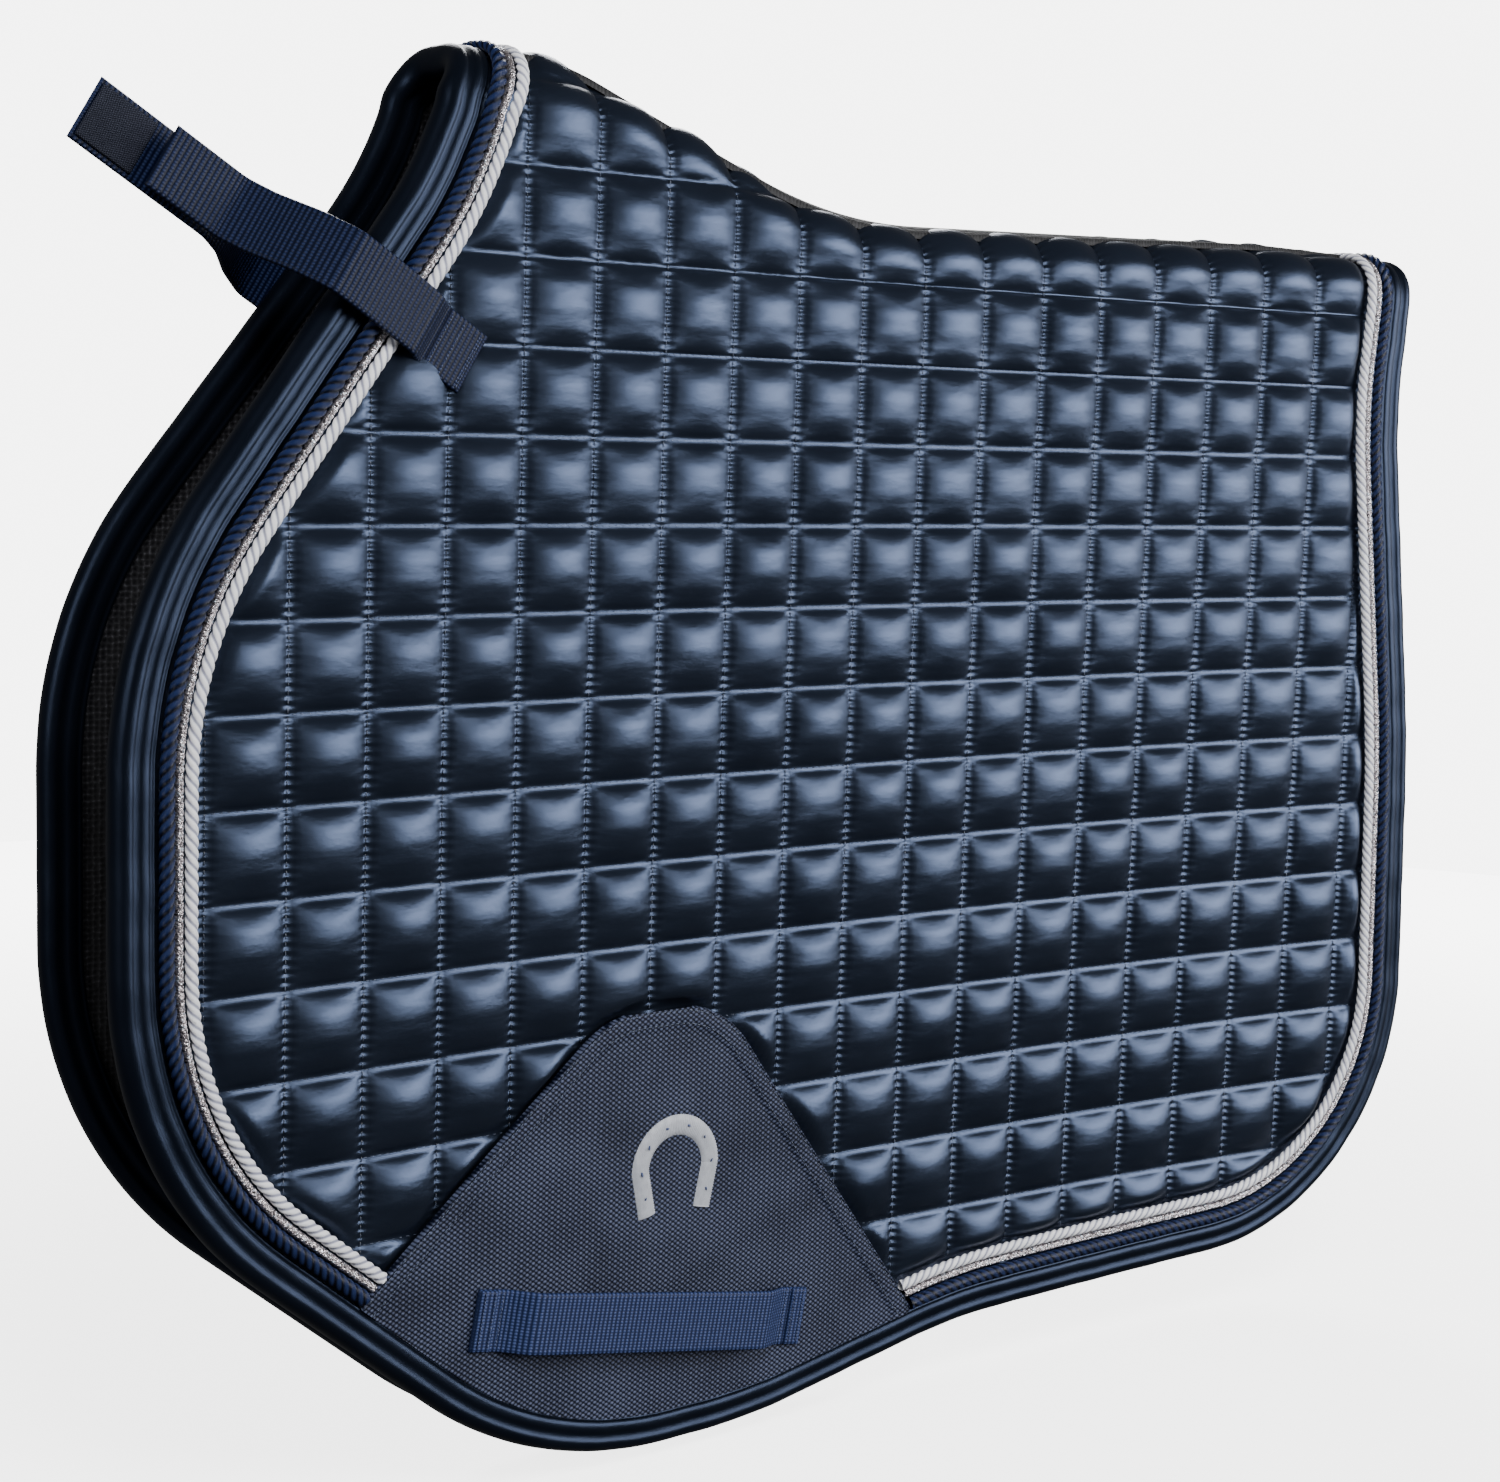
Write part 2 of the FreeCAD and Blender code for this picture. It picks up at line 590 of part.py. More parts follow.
    def strap_line(self, bend, meet, length, base_y, drift):
        """Inner face of a free strap: over the cords, round the flap's edge and along the middle plane.

        bend and meet are where it turns round the edge and where it reaches the middle plane, base_y is the
        hinge's Y on the left side, and drift is the change of Y per millimetre of strap.
        """
        v = self.size
        over = v["navy_cord_width"] * 0.8 + v["strap_clearance"]
        middle = base_y + v["strap_centre_gap"]
        fall = middle + drift * meet - over
        return [(0.6, 0), (v["strap_step"] * 0.3, 0), (v["strap_step"], over), (bend * 0.72, over + 1.2),
                (bend, over + 0.6), (bend + (meet - bend) * 0.35, over + fall * 0.3),
                (bend + (meet - bend) * 0.7, over + fall * 0.78), (meet, over + fall),
                (length, middle + drift * length)]

    def build_straps(self):
        """Sewn ends, free lengths and hook-and-loop tapes of both billet straps."""
        v = self.size
        along, start = self.strap_frame()
        anchor_line = [(0, 0), (v["anchor_length"], 0)]
        anchor = self.strip_body("Anchor", self.bent_profile(anchor_line, v["webbing_thickness"]),
                                 "Sizes.webbing_width")
        self.place_strip(anchor, start, along)
        self.keep_pair(anchor, "billet_anchor")
        hinge = start + along * v["anchor_length"]
        bend = self.hinge_to_edge() + v["strap_past_edge"]
        meet = bend + v["strap_turn"]
        for side, tail in (("left", v["left_strap_tail"]), ("right", v["right_strap_tail"])):
            length = meet + tail
            line = self.strap_line(bend, meet, length, hinge.y, along.y)
            strap = self.strip_body(side.capitalize() + "Strap",
                                    self.bent_profile(line, v["webbing_thickness"]), "Sizes.webbing_width")
            lift = v["tape_thickness"] + 0.05
            tape_line = [(at, hinge.y + v["strap_centre_gap"] + along.y * at - lift)
                         for at in (length - v["tape_length"] - 1.5, length - 1.5)]
            tape = self.strip_body(side.capitalize() + "Tape",
                                   self.bent_profile(tape_line, v["tape_thickness"]),
                                   "Sizes.webbing_width - 4")
            right = side == "right"
            origin = Vector(hinge.x, -hinge.y if right else hinge.y, hinge.z)
            aim = Vector(along.x, -along.y if right else along.y, along.z)
            for body, label in ((strap, "billet_strap"), (tape, "billet_tape")):
                self.place_strip(body, origin, aim, mirror_side=right)
                self.keep(body, "%s_%s" % (side, label))

    # -- output ----------------------------------------------------------------------------------

    def check(self):
        """Stops if any object failed or any piece is missing or unsound."""
        self.doc.recompute()
        for item in self.doc.Objects:
            if "Invalid" in item.State or "Error" in item.State:
                raise RuntimeError("%s did not compute: %s" % (item.Name, item.State))
        for piece in self.pieces:
            shape = piece.Shape
            if shape.isNull() or not shape.isValid() or not shape.Solids:
                raise RuntimeError("%s has no sound solid" % piece.Label)

    def write(self):
        """Writes each piece to its own STEP file."""
        os.makedirs("parts", exist_ok=True)
        for piece in self.pieces:
            piece.Shape.exportStep(os.path.join("parts", piece.Label + ".step"))
            print("%-26s solids %d  volume %.1f cm3" % (piece.Label, len(piece.Shape.Solids),
                                                        piece.Shape.Volume / 1000))


def main():
    pad = PadBuilder()
    pad.build_cutters()
    pad.build_flaps()
    pad.build_crest()
    pad.build_patch()
    pad.build_loop()
    pad.build_straps()
    pad.check()
    pad.write()


main()
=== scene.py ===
"""Quilted saddle pad: the made-up surfaces, trims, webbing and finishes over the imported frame.

Frame: metres, +Z up, -X towards the horse's head, -Y is the horse's left. Sizes in the classes are
millimetres, as a maker writes them, and become metres only when a mesh is written.
"""

import json
import logging
import math
from dataclasses import dataclass, field
from enum import Enum
from typing import Sequence

import bpy
import numpy as np
from mathutils import Euler, Matrix


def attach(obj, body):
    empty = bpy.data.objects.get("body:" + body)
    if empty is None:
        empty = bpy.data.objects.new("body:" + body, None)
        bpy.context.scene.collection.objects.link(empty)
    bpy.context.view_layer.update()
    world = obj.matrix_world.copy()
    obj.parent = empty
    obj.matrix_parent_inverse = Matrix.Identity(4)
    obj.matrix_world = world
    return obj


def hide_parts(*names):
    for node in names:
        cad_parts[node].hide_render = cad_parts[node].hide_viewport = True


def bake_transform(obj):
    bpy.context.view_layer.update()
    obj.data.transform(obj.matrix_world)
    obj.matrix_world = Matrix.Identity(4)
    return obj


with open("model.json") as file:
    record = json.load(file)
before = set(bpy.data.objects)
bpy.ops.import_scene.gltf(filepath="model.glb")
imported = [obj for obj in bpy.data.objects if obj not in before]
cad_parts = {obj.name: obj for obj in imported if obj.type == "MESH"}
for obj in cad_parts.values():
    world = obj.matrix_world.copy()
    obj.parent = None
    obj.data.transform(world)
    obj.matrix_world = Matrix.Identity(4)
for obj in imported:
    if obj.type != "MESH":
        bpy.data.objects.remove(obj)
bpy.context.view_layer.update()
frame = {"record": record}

LOG = logging.getLogger("saddle_pad")
MM = 0.001
SEED = 20
WAVE_RADIANS = 20.0
CAP_SCALE = (0.995, 0.02)
CAP_REACH = 0.3


class Side(Enum):
    """Which half of the pad a piece belongs to; the value is the sign of its Y."""

    LEFT = -1
    RIGHT = 1

    @property
    def word(self) -> str:
        """The side's name, as the frame's nodes spell it."""
        return self.name.lower()


class Run(Enum):
    """The two runs of corded trim on each flap."""

    FRONT = "front"
    REAR = "rear"


# -- shape ---------------------------------------------------------------------------------------


def smoothstep(value: np.ndarray) -> np.ndarray:
    """Smooth ramp from 0 at 0 to 1 at 1."""
    clipped = np.clip(value, 0.0, 1.0)
    return clipped * clipped * (3 - 2 * clipped)


def unit(vectors: np.ndarray) -> np.ndarray:
    """The same vectors, each at length 1."""
    return vectors / np.linalg.norm(vectors, axis=-1, keepdims=True)


def lengths_along(points: np.ndarray) -> np.ndarray:
    """Distance of each point from the first, along the line that they make."""
    return np.r_[0, np.cumsum(np.linalg.norm(np.diff(points, axis=0), axis=1))]


def read_along(at: np.ndarray, lengths: np.ndarray, values: np.ndarray) -> np.ndarray:
    """Values given at some lengths along a line, read at others."""
    return np.stack([np.interp(at, lengths, column) for column in values.T], axis=1)


def rounded_line(corners: Sequence[tuple[float, float, float]], closed: bool, step: float) -> np.ndarray:
    """Points along a line whose corners are rounded by tangent arcs.

    Args:
        corners: (x, z, radius) of each corner, in millimetres.
        closed: whether the last corner runs back to the first.
        step: spacing of the points along arcs and straights.

    Returns:
        An (n, 2) array of x and z.
    """
    count = len(corners)
    places = [np.array(corner[:2], float) for corner in corners]
    turns: list[np.ndarray] = []
    for i, (_, _, radius) in enumerate(corners):
        inner = closed or 0 < i < count - 1
        if radius <= 0 or not inner:
            turns.append(places[i][None])
            continue
        back = places[i - 1] - places[i]
        ahead = places[(i + 1) % count] - places[i]
        back /= np.linalg.norm(back)
        ahead /= np.linalg.norm(ahead)
        half = math.acos(float(np.clip(back @ ahead, -1, 1))) / 2
        bisector = (back + ahead) / np.linalg.norm(back + ahead)
        centre = places[i] + bisector * radius / math.sin(half)
        entry = places[i] + back * radius / math.tan(half) - centre
        sweep = math.pi - 2 * half
        if entry[0] * ahead[1] - entry[1] * ahead[0] < 0:
            sweep = -sweep
        angles = np.linspace(0, sweep, max(3, int(abs(sweep) * radius / step) + 1))
        turned = np.stack([entry[0] * np.cos(angles) - entry[1] * np.sin(angles),
                           entry[0] * np.sin(angles) + entry[1] * np.cos(angles)], axis=1)
        turns.append(centre + turned)
    rough = np.concatenate(turns + ([turns[0][:1]] if closed else []))
    lengths = lengths_along(rough)
    return read_along(np.linspace(0, lengths[-1], max(2, int(lengths[-1] / step))), lengths, rough)


def inside_distance(points: np.ndarray, ring: np.ndarray) -> np.ndarray:
    """Distance of side-view points to a closed ring, positive inside it.

    Args:
        points: (n, 2) array of x and z.
        ring: (m, 2) array of the ring's points.

    Returns:
        An (n,) array of signed distances.
    """
    start, end = ring, np.roll(ring, -1, axis=0)
    best = np.full(len(points), 1e9)
    inside = np.zeros(len(points), bool)
    for a, b in zip(start, end):
        run = b - a
        length = float(run @ run)
        if length < 1e-9:
            continue
        along = np.clip(((points - a) @ run) / length, 0, 1)
        best = np.minimum(best, np.hypot(*(points - a - along[:, None] * run).T))
        if a[1] != b[1]:
            crosses = (a[1] > points[:, 1]) != (b[1] > points[:, 1])
            inside ^= crosses & (points[:, 0] < a[0] + (points[:, 1] - a[1]) * run[0] / (b[1] - a[1]))
    return np.where(inside, best, -best)


@dataclass(frozen=True)
class PadShape:
    """The pad's overall form: side outline, crest line, flare and fold, as the frame has them."""

    front_reach: float = 412.0
    rear_reach: float = 304.0
    drop: float = 515.0
    wither_height: float = 62.0
    wither_top_x: float = 215.0
    back_start_x: float = 68.0
    loin_height: float = 15.0
    loin_x: float = 190.0
    crest_front_x: float = 262.0
    crest_rear_x: float = 286.0
    thickness: float = 10.0
    half_width: float = 20.0
    bow_rise: float = 17.0
    bow_span: float = 712.0
    bow_middle_x: float = 54.0
    fold: float = 18.0
    sky: float = 130.0
    outline_step: float = 6.0

    def bow_radius(self) -> float:
        """Plan radius of the flap's outer face."""
        half = self.bow_span / 2
        return (half * half + self.bow_rise ** 2) / (2 * self.bow_rise)

    def half_width_at(self, x: np.ndarray) -> np.ndarray:
        """Middle plane to the outer face at x."""
        radius = self.bow_radius()
        return self.half_width + radius - np.sqrt(radius ** 2 - (x + self.bow_middle_x) ** 2)

    def crest_line(self) -> np.ndarray:
        """The top of the pad seen from the side, front to rear."""
        reach, run_out, dip = 60.0, 0.05, 6.7
        return rounded_line([
            (-self.crest_front_x - reach, self.wither_height + run_out * reach, 0),
            (-self.wither_top_x, self.wither_height, 120),
            (-self.back_start_x, self.loin_height - dip, 250),
            (self.loin_x, self.loin_height, 400),
            (self.crest_rear_x + reach, self.loin_height - run_out * reach, 0),
        ], False, 4.0)

    def outline(self) -> np.ndarray:
        """The flap's side outline as a closed ring, front top first."""
        front, rear, drop = self.front_reach, self.rear_reach, self.drop
        return rounded_line([
            (-self.crest_front_x + 0.37 * (self.sky - self.wither_height), self.sky, 0),
            (-self.crest_front_x - 24, self.wither_height - 48, 150),
            (-front, 362 - drop, 180),
            (1 - front, 155 - drop, 165),
            (194 - front, -drop, 190),
            (307 - front, 1 - drop, 300),
            (319 - rear, 25 - drop, 300),
            (rear + 4, 37 - drop, 130),
            (rear - 4, 285 - drop, 600),
            (rear - 25, self.loin_height - 77, 250),
            (rear - 7, self.sky, 0),
        ], True, self.outline_step)


class Skin:
    """Places points on the folded, bowed pad at any depth under its outer face."""

    def __init__(self, shape: PadShape, side: Side) -> None:
        self.shape = shape
        self.side = side
        self.crest = shape.crest_line()
        self.ring = shape.outline()
        self.arc = shape.fold * math.pi / 2

    def top(self, x: np.ndarray) -> np.ndarray:
        """Height of the crest at x."""
        return np.interp(x, self.crest[:, 0], self.crest[:, 1])

    def bend(self, x: np.ndarray) -> np.ndarray:
        """Height at x where the upright flap starts to fold over."""
        return self.top(x) - self.shape.fold

    def roll_end(self, x: np.ndarray) -> np.ndarray:
        """How far past the bend the middle plane lies, along the skin."""
        return self.arc + self.shape.half_width_at(x) - self.shape.fold

    def place(self, x: np.ndarray, roll: np.ndarray, depth: np.ndarray | float) -> np.ndarray:
        """Points of the skin.

        Args:
            x: place along the pad.
            roll: millimetres past the bend along the skin, negative on the upright flap.
            depth: millimetres under the outer face.

        Returns:
            An (..., 3) array in millimetres.
        """
        fold = self.shape.fold
        width = self.shape.half_width_at(x)
        angle = np.clip(roll, 0, self.arc) / fold
        over = np.maximum(roll - self.arc, 0)
        y = width - fold + (fold - depth) * np.cos(angle) - over
        z = self.bend(x) + np.minimum(roll, 0) + (fold - depth) * np.sin(angle)
        return np.stack(np.broadcast_arrays(x, self.side.value * y, z), axis=-1)

    def outward(self, x: np.ndarray, roll: np.ndarray) -> np.ndarray:
        """Unit normal of the skin, away from the horse."""
        step = 0.5
        flare = (self.shape.half_width_at(x + step) - self.shape.half_width_at(x - step)) / (2 * step)
        angle = np.clip(roll, 0, self.arc) / self.shape.fold
        normal = np.stack(np.broadcast_arrays(
            -flare * np.cos(angle), self.side.value * np.cos(angle), np.sin(angle)), axis=-1)
        return unit(normal)

    def flap_outward(self, x: np.ndarray) -> np.ndarray:
        """Unit normal of the upright flap."""
        return self.outward(x, np.zeros_like(x))

    def flap_point(self, x: np.ndarray, z: np.ndarray, depth: np.ndarray | float = 0.0) -> np.ndarray:
        """A point given by its side view, on the upright flap or its fold."""
        rise = np.clip((z - self.bend(x)) / self.shape.fold, 0, 1)
        roll = np.where(z <= self.bend(x), z - self.bend(x), np.arcsin(rise) * self.shape.fold)
        return self.place(x, roll, depth)


@dataclass
class Path:
    """A line over the pad with a frame at each point: along it, inwards over the pad, and outwards."""

    points: np.ndarray
    inward: np.ndarray
    outward: np.ndarray

    def length_at(self) -> np.ndarray:
        """Distance along the line of each point, millimetres."""
        return lengths_along(self.points)

    def resampled(self, step: float) -> "Path":
        """The same line with evenly spaced points."""
        lengths = self.length_at()
        at = np.linspace(0, lengths[-1], max(2, int(lengths[-1] / step)))
        points, inward, outward = (read_along(at, lengths, part)
                                   for part in (self.points, self.inward, self.outward))
        return Path(points, unit(inward), unit(outward))

    def shifted(self, inset: float, lift: float) -> "Path":
        """The line moved inwards over the pad and lifted off it."""
        return Path(self.points + self.inward * inset + self.outward * lift, self.inward, self.outward)

    def kept(self, mask: np.ndarray) -> "Path":
        """Only the points that the mask keeps."""
        return Path(self.points[mask], self.inward[mask], self.outward[mask])


def edge_path(skin: Skin) -> Path:
    """The flap's edge, from the middle plane at the withers round to the middle plane at the loin."""
    ring = skin.ring
    x, z = ring[:, 0], ring[:, 1]
    upright = np.nonzero(z < skin.bend(x))[0]
    line = ring[upright[0]: upright[-1] + 1]

    def over_fold(end: np.ndarray, before: np.ndarray) -> tuple[np.ndarray, np.ndarray]:
        slope = (end[0] - before[0]) / (end[1] - before[1])
        roll_stop = float(skin.roll_end(end[0]))
        rolls = np.linspace(1.0, roll_stop, 24)
        rise = skin.shape.fold * np.sin(np.clip(rolls, 0, skin.arc) / skin.shape.fold)
        return end[0] + slope * rise, rolls

    front_x, front_roll = over_fold(line[0], line[3])
    rear_x, rear_roll = over_fold(line[-1], line[-4])
    xs = np.r_[front_x[::-1], line[:, 0], rear_x]
    rolls = np.r_[front_roll[::-1], line[:, 1] - skin.bend(line[:, 0]), rear_roll]
    points = skin.place(xs, rolls, 0.0)
    outward = skin.outward(xs, rolls)
    inward = unit(np.cross(unit(np.gradient(points, axis=0)), outward) * skin.side.value)
    path = Path(points, inward, outward).resampled(1.0)
    for part, rounds in ((path.points, 14), (path.inward, 60), (path.outward, 30)):
        for _ in range(rounds):
            part[1:-1] = (part[:-2] + 2 * part[1:-1] + part[2:]) / 4
    return path.resampled(1.0)


# -- meshes --------------------------------------------------------------------------------------


class MeshWriter:
    """Gathers grids and small solids into one mesh with a flat coordinate in metres for its weave."""

    def __init__(self) -> None:
        self.points: list[np.ndarray] = []
        self.flats: list[np.ndarray] = []
        self.faces: list[np.ndarray] = []
        self.count = 0

    def add(self, points: np.ndarray, flats: np.ndarray, faces: np.ndarray) -> None:
        """Adds points (mm), their flat coordinates (mm) and faces with four corners each."""
        self.points.append(points.reshape(-1, 3))
        self.flats.append(flats.reshape(-1, 2))
        self.faces.append(faces + self.count)
        self.count += len(self.points[-1])

    def grid(self, points: np.ndarray, flats: np.ndarray, keep: np.ndarray | None = None,
             loop: bool = False, flip: bool = False) -> None:
        """Adds a grid of points.

        Args:
            points: (rows, columns, 3) array in millimetres.
            flats: (rows, columns, 2) array in millimetres.
            keep: (rows - 1, columns - 1) mask of the faces that stay.
            loop: joins the last column to the first.
            flip: turns the faces over.
        """
        rows, columns = points.shape[:2]
        index = np.arange(rows * columns).reshape(rows, columns)
        right = np.roll(index, -1, axis=1) if loop else index[:, 1:]
        left = index if loop else index[:, :-1]
        quads = np.stack([left[:-1], right[:-1], right[1:], left[1:]], axis=-1)
        quads = quads[keep] if keep is not None else quads.reshape(-1, 4)
        self.add(points, flats, quads[:, ::-1] if flip else quads)

    def beads(self, centres: np.ndarray, along: np.ndarray, outward: np.ndarray,
              size: tuple[float, float, float]) -> None:
        """Adds a small faceted bead, such as one stitch, at each centre.

        Args:
            centres: (n, 3) array in millimetres.
            along: (n, 3) unit vectors of the bead's length.
            outward: (n, 3) unit vectors away from the cloth.
            size: length, width and height of a bead in millimetres.
        """
        across = np.cross(along, outward)
        length, width, height = (value / 2 for value in size)
        ring = [(-1, 0, 0), (-0.55, 0.9, 0.2), (-0.55, -0.9, 0.2), (-0.55, 0, 1),
                (0.55, 0.9, 0.2), (0.55, -0.9, 0.2), (0.55, 0, 1), (1, 0, 0)]
        made = np.stack([centres + a * length * along + b * width * across + c * height * outward
                         for a, b, c in ring], axis=1)
        quads = np.array([[1, 4, 6, 3], [3, 6, 5, 2], [0, 1, 3, 2], [7, 5, 6, 4], [0, 2, 5, 7], [0, 7, 4, 1]])
        index = (np.arange(len(centres)) * len(ring))[:, None, None] + quads
        self.add(made, np.zeros((len(centres) * len(ring), 2)), index.reshape(-1, 4))

    def write(self, name: str, material: bpy.types.Material) -> bpy.types.Object:
        """Makes the object, in metres, smooth shaded.

        Args:
            name: the piece's name.
            material: its finish.

        Returns:
            The new object, linked to the scene.
        """
        points = np.concatenate(self.points) * MM
        flats = np.concatenate(self.flats) * MM
        faces = np.concatenate(self.faces)
        used = np.unique(faces)
        renumber = np.zeros(len(points), int)
        renumber[used] = np.arange(len(used))
        faces = renumber[faces]
        mesh = bpy.data.meshes.new(name)
        mesh.vertices.add(len(used))
        mesh.vertices.foreach_set("co", points[used].ravel())
        mesh.loops.add(faces.size)
        mesh.loops.foreach_set("vertex_index", faces.ravel())
        mesh.polygons.add(len(faces))
        mesh.polygons.foreach_set("loop_start", np.arange(len(faces)) * 4)
        mesh.update(calc_edges=True)
        layer = mesh.uv_layers.new(name="Flat")
        layer.data.foreach_set("uv", flats[used][faces.ravel()].ravel())
        mesh.polygons.foreach_set("use_smooth", np.ones(len(faces), bool))
        mesh.materials.append(material)
        mesh.validate()
        piece = bpy.data.objects.new(name, mesh)
        bpy.context.scene.collection.objects.link(piece)
        return piece


def sweep(writer: MeshWriter, path: Path, profile: np.ndarray, closed: bool = True) -> None:
    """Sweeps a profile along a path.

    Args:
        writer: the mesh to add to.
        path: the line to follow.
        profile: (m, 2) array of inset and lift, in millimetres.
        closed: joins the profile's last point to its first.
    """
    points = (path.points[:, None] + path.inward[:, None] * profile[None, :, :1]
              + path.outward[:, None] * profile[None, :, 1:])
    flats = np.stack(np.broadcast_arrays(path.length_at()[:, None], lengths_along(profile)[None]), axis=-1)
    writer.grid(points, flats, loop=closed)


# -- finishes ------------------------------------------------------------------------------------


class Nodes:
    """Short calls for wiring a finish's node tree."""

    def __init__(self, name: str) -> None:
        self.material = bpy.data.materials.new(name)
        self.material.use_nodes = True
        self.tree = self.material.node_tree
        self.shader = self.tree.nodes["Principled BSDF"]

    def add(self, kind: str, inputs: dict | None = None, **settings: object) -> bpy.types.Node:
        """Adds a node, sets its properties, and sets or links its inputs."""
        node = self.tree.nodes.new(kind)
        for key, value in settings.items():
            setattr(node, key, value)
        for key, value in (inputs or {}).items():
            if isinstance(value, bpy.types.NodeSocket):
                self.tree.links.new(value, node.inputs[key])
            else:
                node.inputs[key].default_value = value
        return node

    def flat(self) -> bpy.types.NodeSocket:
        """The cloth's flat coordinate, in metres."""
        return self.add("ShaderNodeUVMap", uv_map="Flat").outputs["UV"]

    def solid(self) -> bpy.types.NodeSocket:
        """The piece's own solid coordinate, in metres."""
        return self.add("ShaderNodeTexCoord").outputs["Object"]

    def scaled(self, vector: bpy.types.NodeSocket, scale: tuple[float, float, float],
               turn: float = 0.0) -> bpy.types.NodeSocket:
        """A coordinate scaled, and turned in its plane by degrees."""
        return self.add("ShaderNodeMapping", {"Vector": vector, "Scale": scale,
                                              "Rotation": (0, 0, math.radians(turn))}).outputs["Vector"]

    def noise(self, vector: bpy.types.NodeSocket, scale: float, detail: float = 2.0) -> bpy.types.NodeSocket:
        """Soft noise from 0 to 1."""
        inputs = {"Vector": vector, "Scale": scale, "Detail": detail}
        return self.add("ShaderNodeTexNoise", inputs).outputs["Fac"]

    def wave(self, vector: bpy.types.NodeSocket, scale: float, direction: str,
             distortion: float = 0.0) -> bpy.types.NodeSocket:
        """Ribs with a sine profile; the pitch is 1 / (scale * 3.183) of the coordinate's unit."""
        return self.add("ShaderNodeTexWave", {"Vector": vector, "Scale": scale, "Distortion": distortion},
                        bands_direction=direction).outputs["Fac"]

    def math(self, operation: str, a: object, b: object = 0.5) -> bpy.types.NodeSocket:
        """One arithmetic step on sockets or numbers."""
        return self.add("ShaderNodeMath", {0: a, 1: b}, operation=operation).outputs[0]

    def ramp(self, factor: bpy.types.NodeSocket,
             stops: Sequence[tuple[float, tuple[float, float, float]]]) -> bpy.types.NodeSocket:
        """A colour ramp over (place, colour) stops."""
        node = self.add("ShaderNodeValToRGB", {"Fac": factor})
        elements = node.color_ramp.elements
        while len(elements) < len(stops):
            elements.new(0.5)
        for element, (place, colour) in zip(elements, stops):
            element.position = place
            element.color = (*colour, 1)
        return node.outputs["Color"]

    def bump(self, height: bpy.types.NodeSocket, distance: float, strength: float = 1.0,
             under: bpy.types.NodeSocket | None = None) -> bpy.types.NodeSocket:
        """Turns a height into a normal; distance is the relief in metres."""
        inputs = {"Height": height, "Distance": distance, "Strength": strength}
        if under is not None:
            inputs["Normal"] = under
        return self.add("ShaderNodeBump", inputs).outputs["Normal"]

    def finish(self, **sockets: object) -> bpy.types.Material:
        """Sets or links the shader's sockets, spelled with underscores, and returns the material."""
        for key, value in sockets.items():
            socket = self.shader.inputs[key.replace("_", " ")]
            if isinstance(value, bpy.types.NodeSocket):
                self.tree.links.new(value, socket)
            else:
                socket.default_value = value
        return self.material


def wave_scale(pitch_mm: float) -> float:
    """Wave texture scale that gives one rib per pitch on a coordinate in metres."""
    return 2 * math.pi / (WAVE_RADIANS * pitch_mm * MM)


@dataclass(frozen=True)
class SatinFinish:
    """Woven satin: long floats that glow along the weave, with fine yarns and gathered puckers."""

    name: str
    deep: tuple[float, float, float]
    glow: tuple[float, float, float]
    roughness: float = 0.34
    anisotropy: float = 0.55
    pucker_pitch: float = 3.5
    pucker_height: float = 0.22
    yarn_pitch: float = 0.42
    seam_pitch: float = 0.0

    def build(self) -> bpy.types.Material:
        """Makes the material."""
        n = Nodes(self.name)
        flat = n.flat()
        mottled = n.noise(flat, 22.0, 4.0)
        yarn = n.wave(flat, wave_scale(self.yarn_pitch), "Y", 0.6)
        shade = n.math("ADD", n.math("MULTIPLY", mottled, 0.75), n.math("MULTIPLY", yarn, 0.25))
        colour = n.ramp(shade, [(0.25, self.deep), (0.75, self.glow)])
        rough = n.add("ShaderNodeMapRange", {"Value": mottled, "To Min": self.roughness - 0.05,
                                             "To Max": self.roughness + 0.07}).outputs["Result"]
        normal = n.bump(yarn, 0.00003, 0.5)
        wrinkle = n.noise(n.scaled(flat, (1.0, 2.6, 1.0)), 90.0, 3.0)
        normal = n.bump(wrinkle, 0.0005, 0.35, normal)
        if self.seam_pitch:
            axes = n.add("ShaderNodeSeparateXYZ", {"Vector": flat})
            cell = n.math("DIVIDE", axes.outputs["X"], self.seam_pitch * MM)
            off_seam = n.math("ABSOLUTE", n.math("SUBTRACT", n.math("FRACT", n.math("ADD", cell, 0.5)), 0.5))
            near = n.add("ShaderNodeMapRange", {"Value": off_seam, "From Min": 0.0, "From Max": 0.2,
                                                "To Min": 1.0, "To Max": 0.0}).outputs["Result"]
            pleats = n.wave(flat, wave_scale(self.pucker_pitch), "Y", 1.2)
            normal = n.bump(n.math("MULTIPLY", pleats, n.math("MULTIPLY", near, near)),
                            self.pucker_height * MM * 2, 0.9, normal)
        tangent = n.add("ShaderNodeTangent", direction_type="UV_MAP", uv_map="Flat").outputs["Tangent"]
        return n.finish(Base_Color=colour, Roughness=rough, Normal=normal, Anisotropic=self.anisotropy,
                        Tangent=tangent, Specular_IOR_Level=0.3, Metallic=0.88)


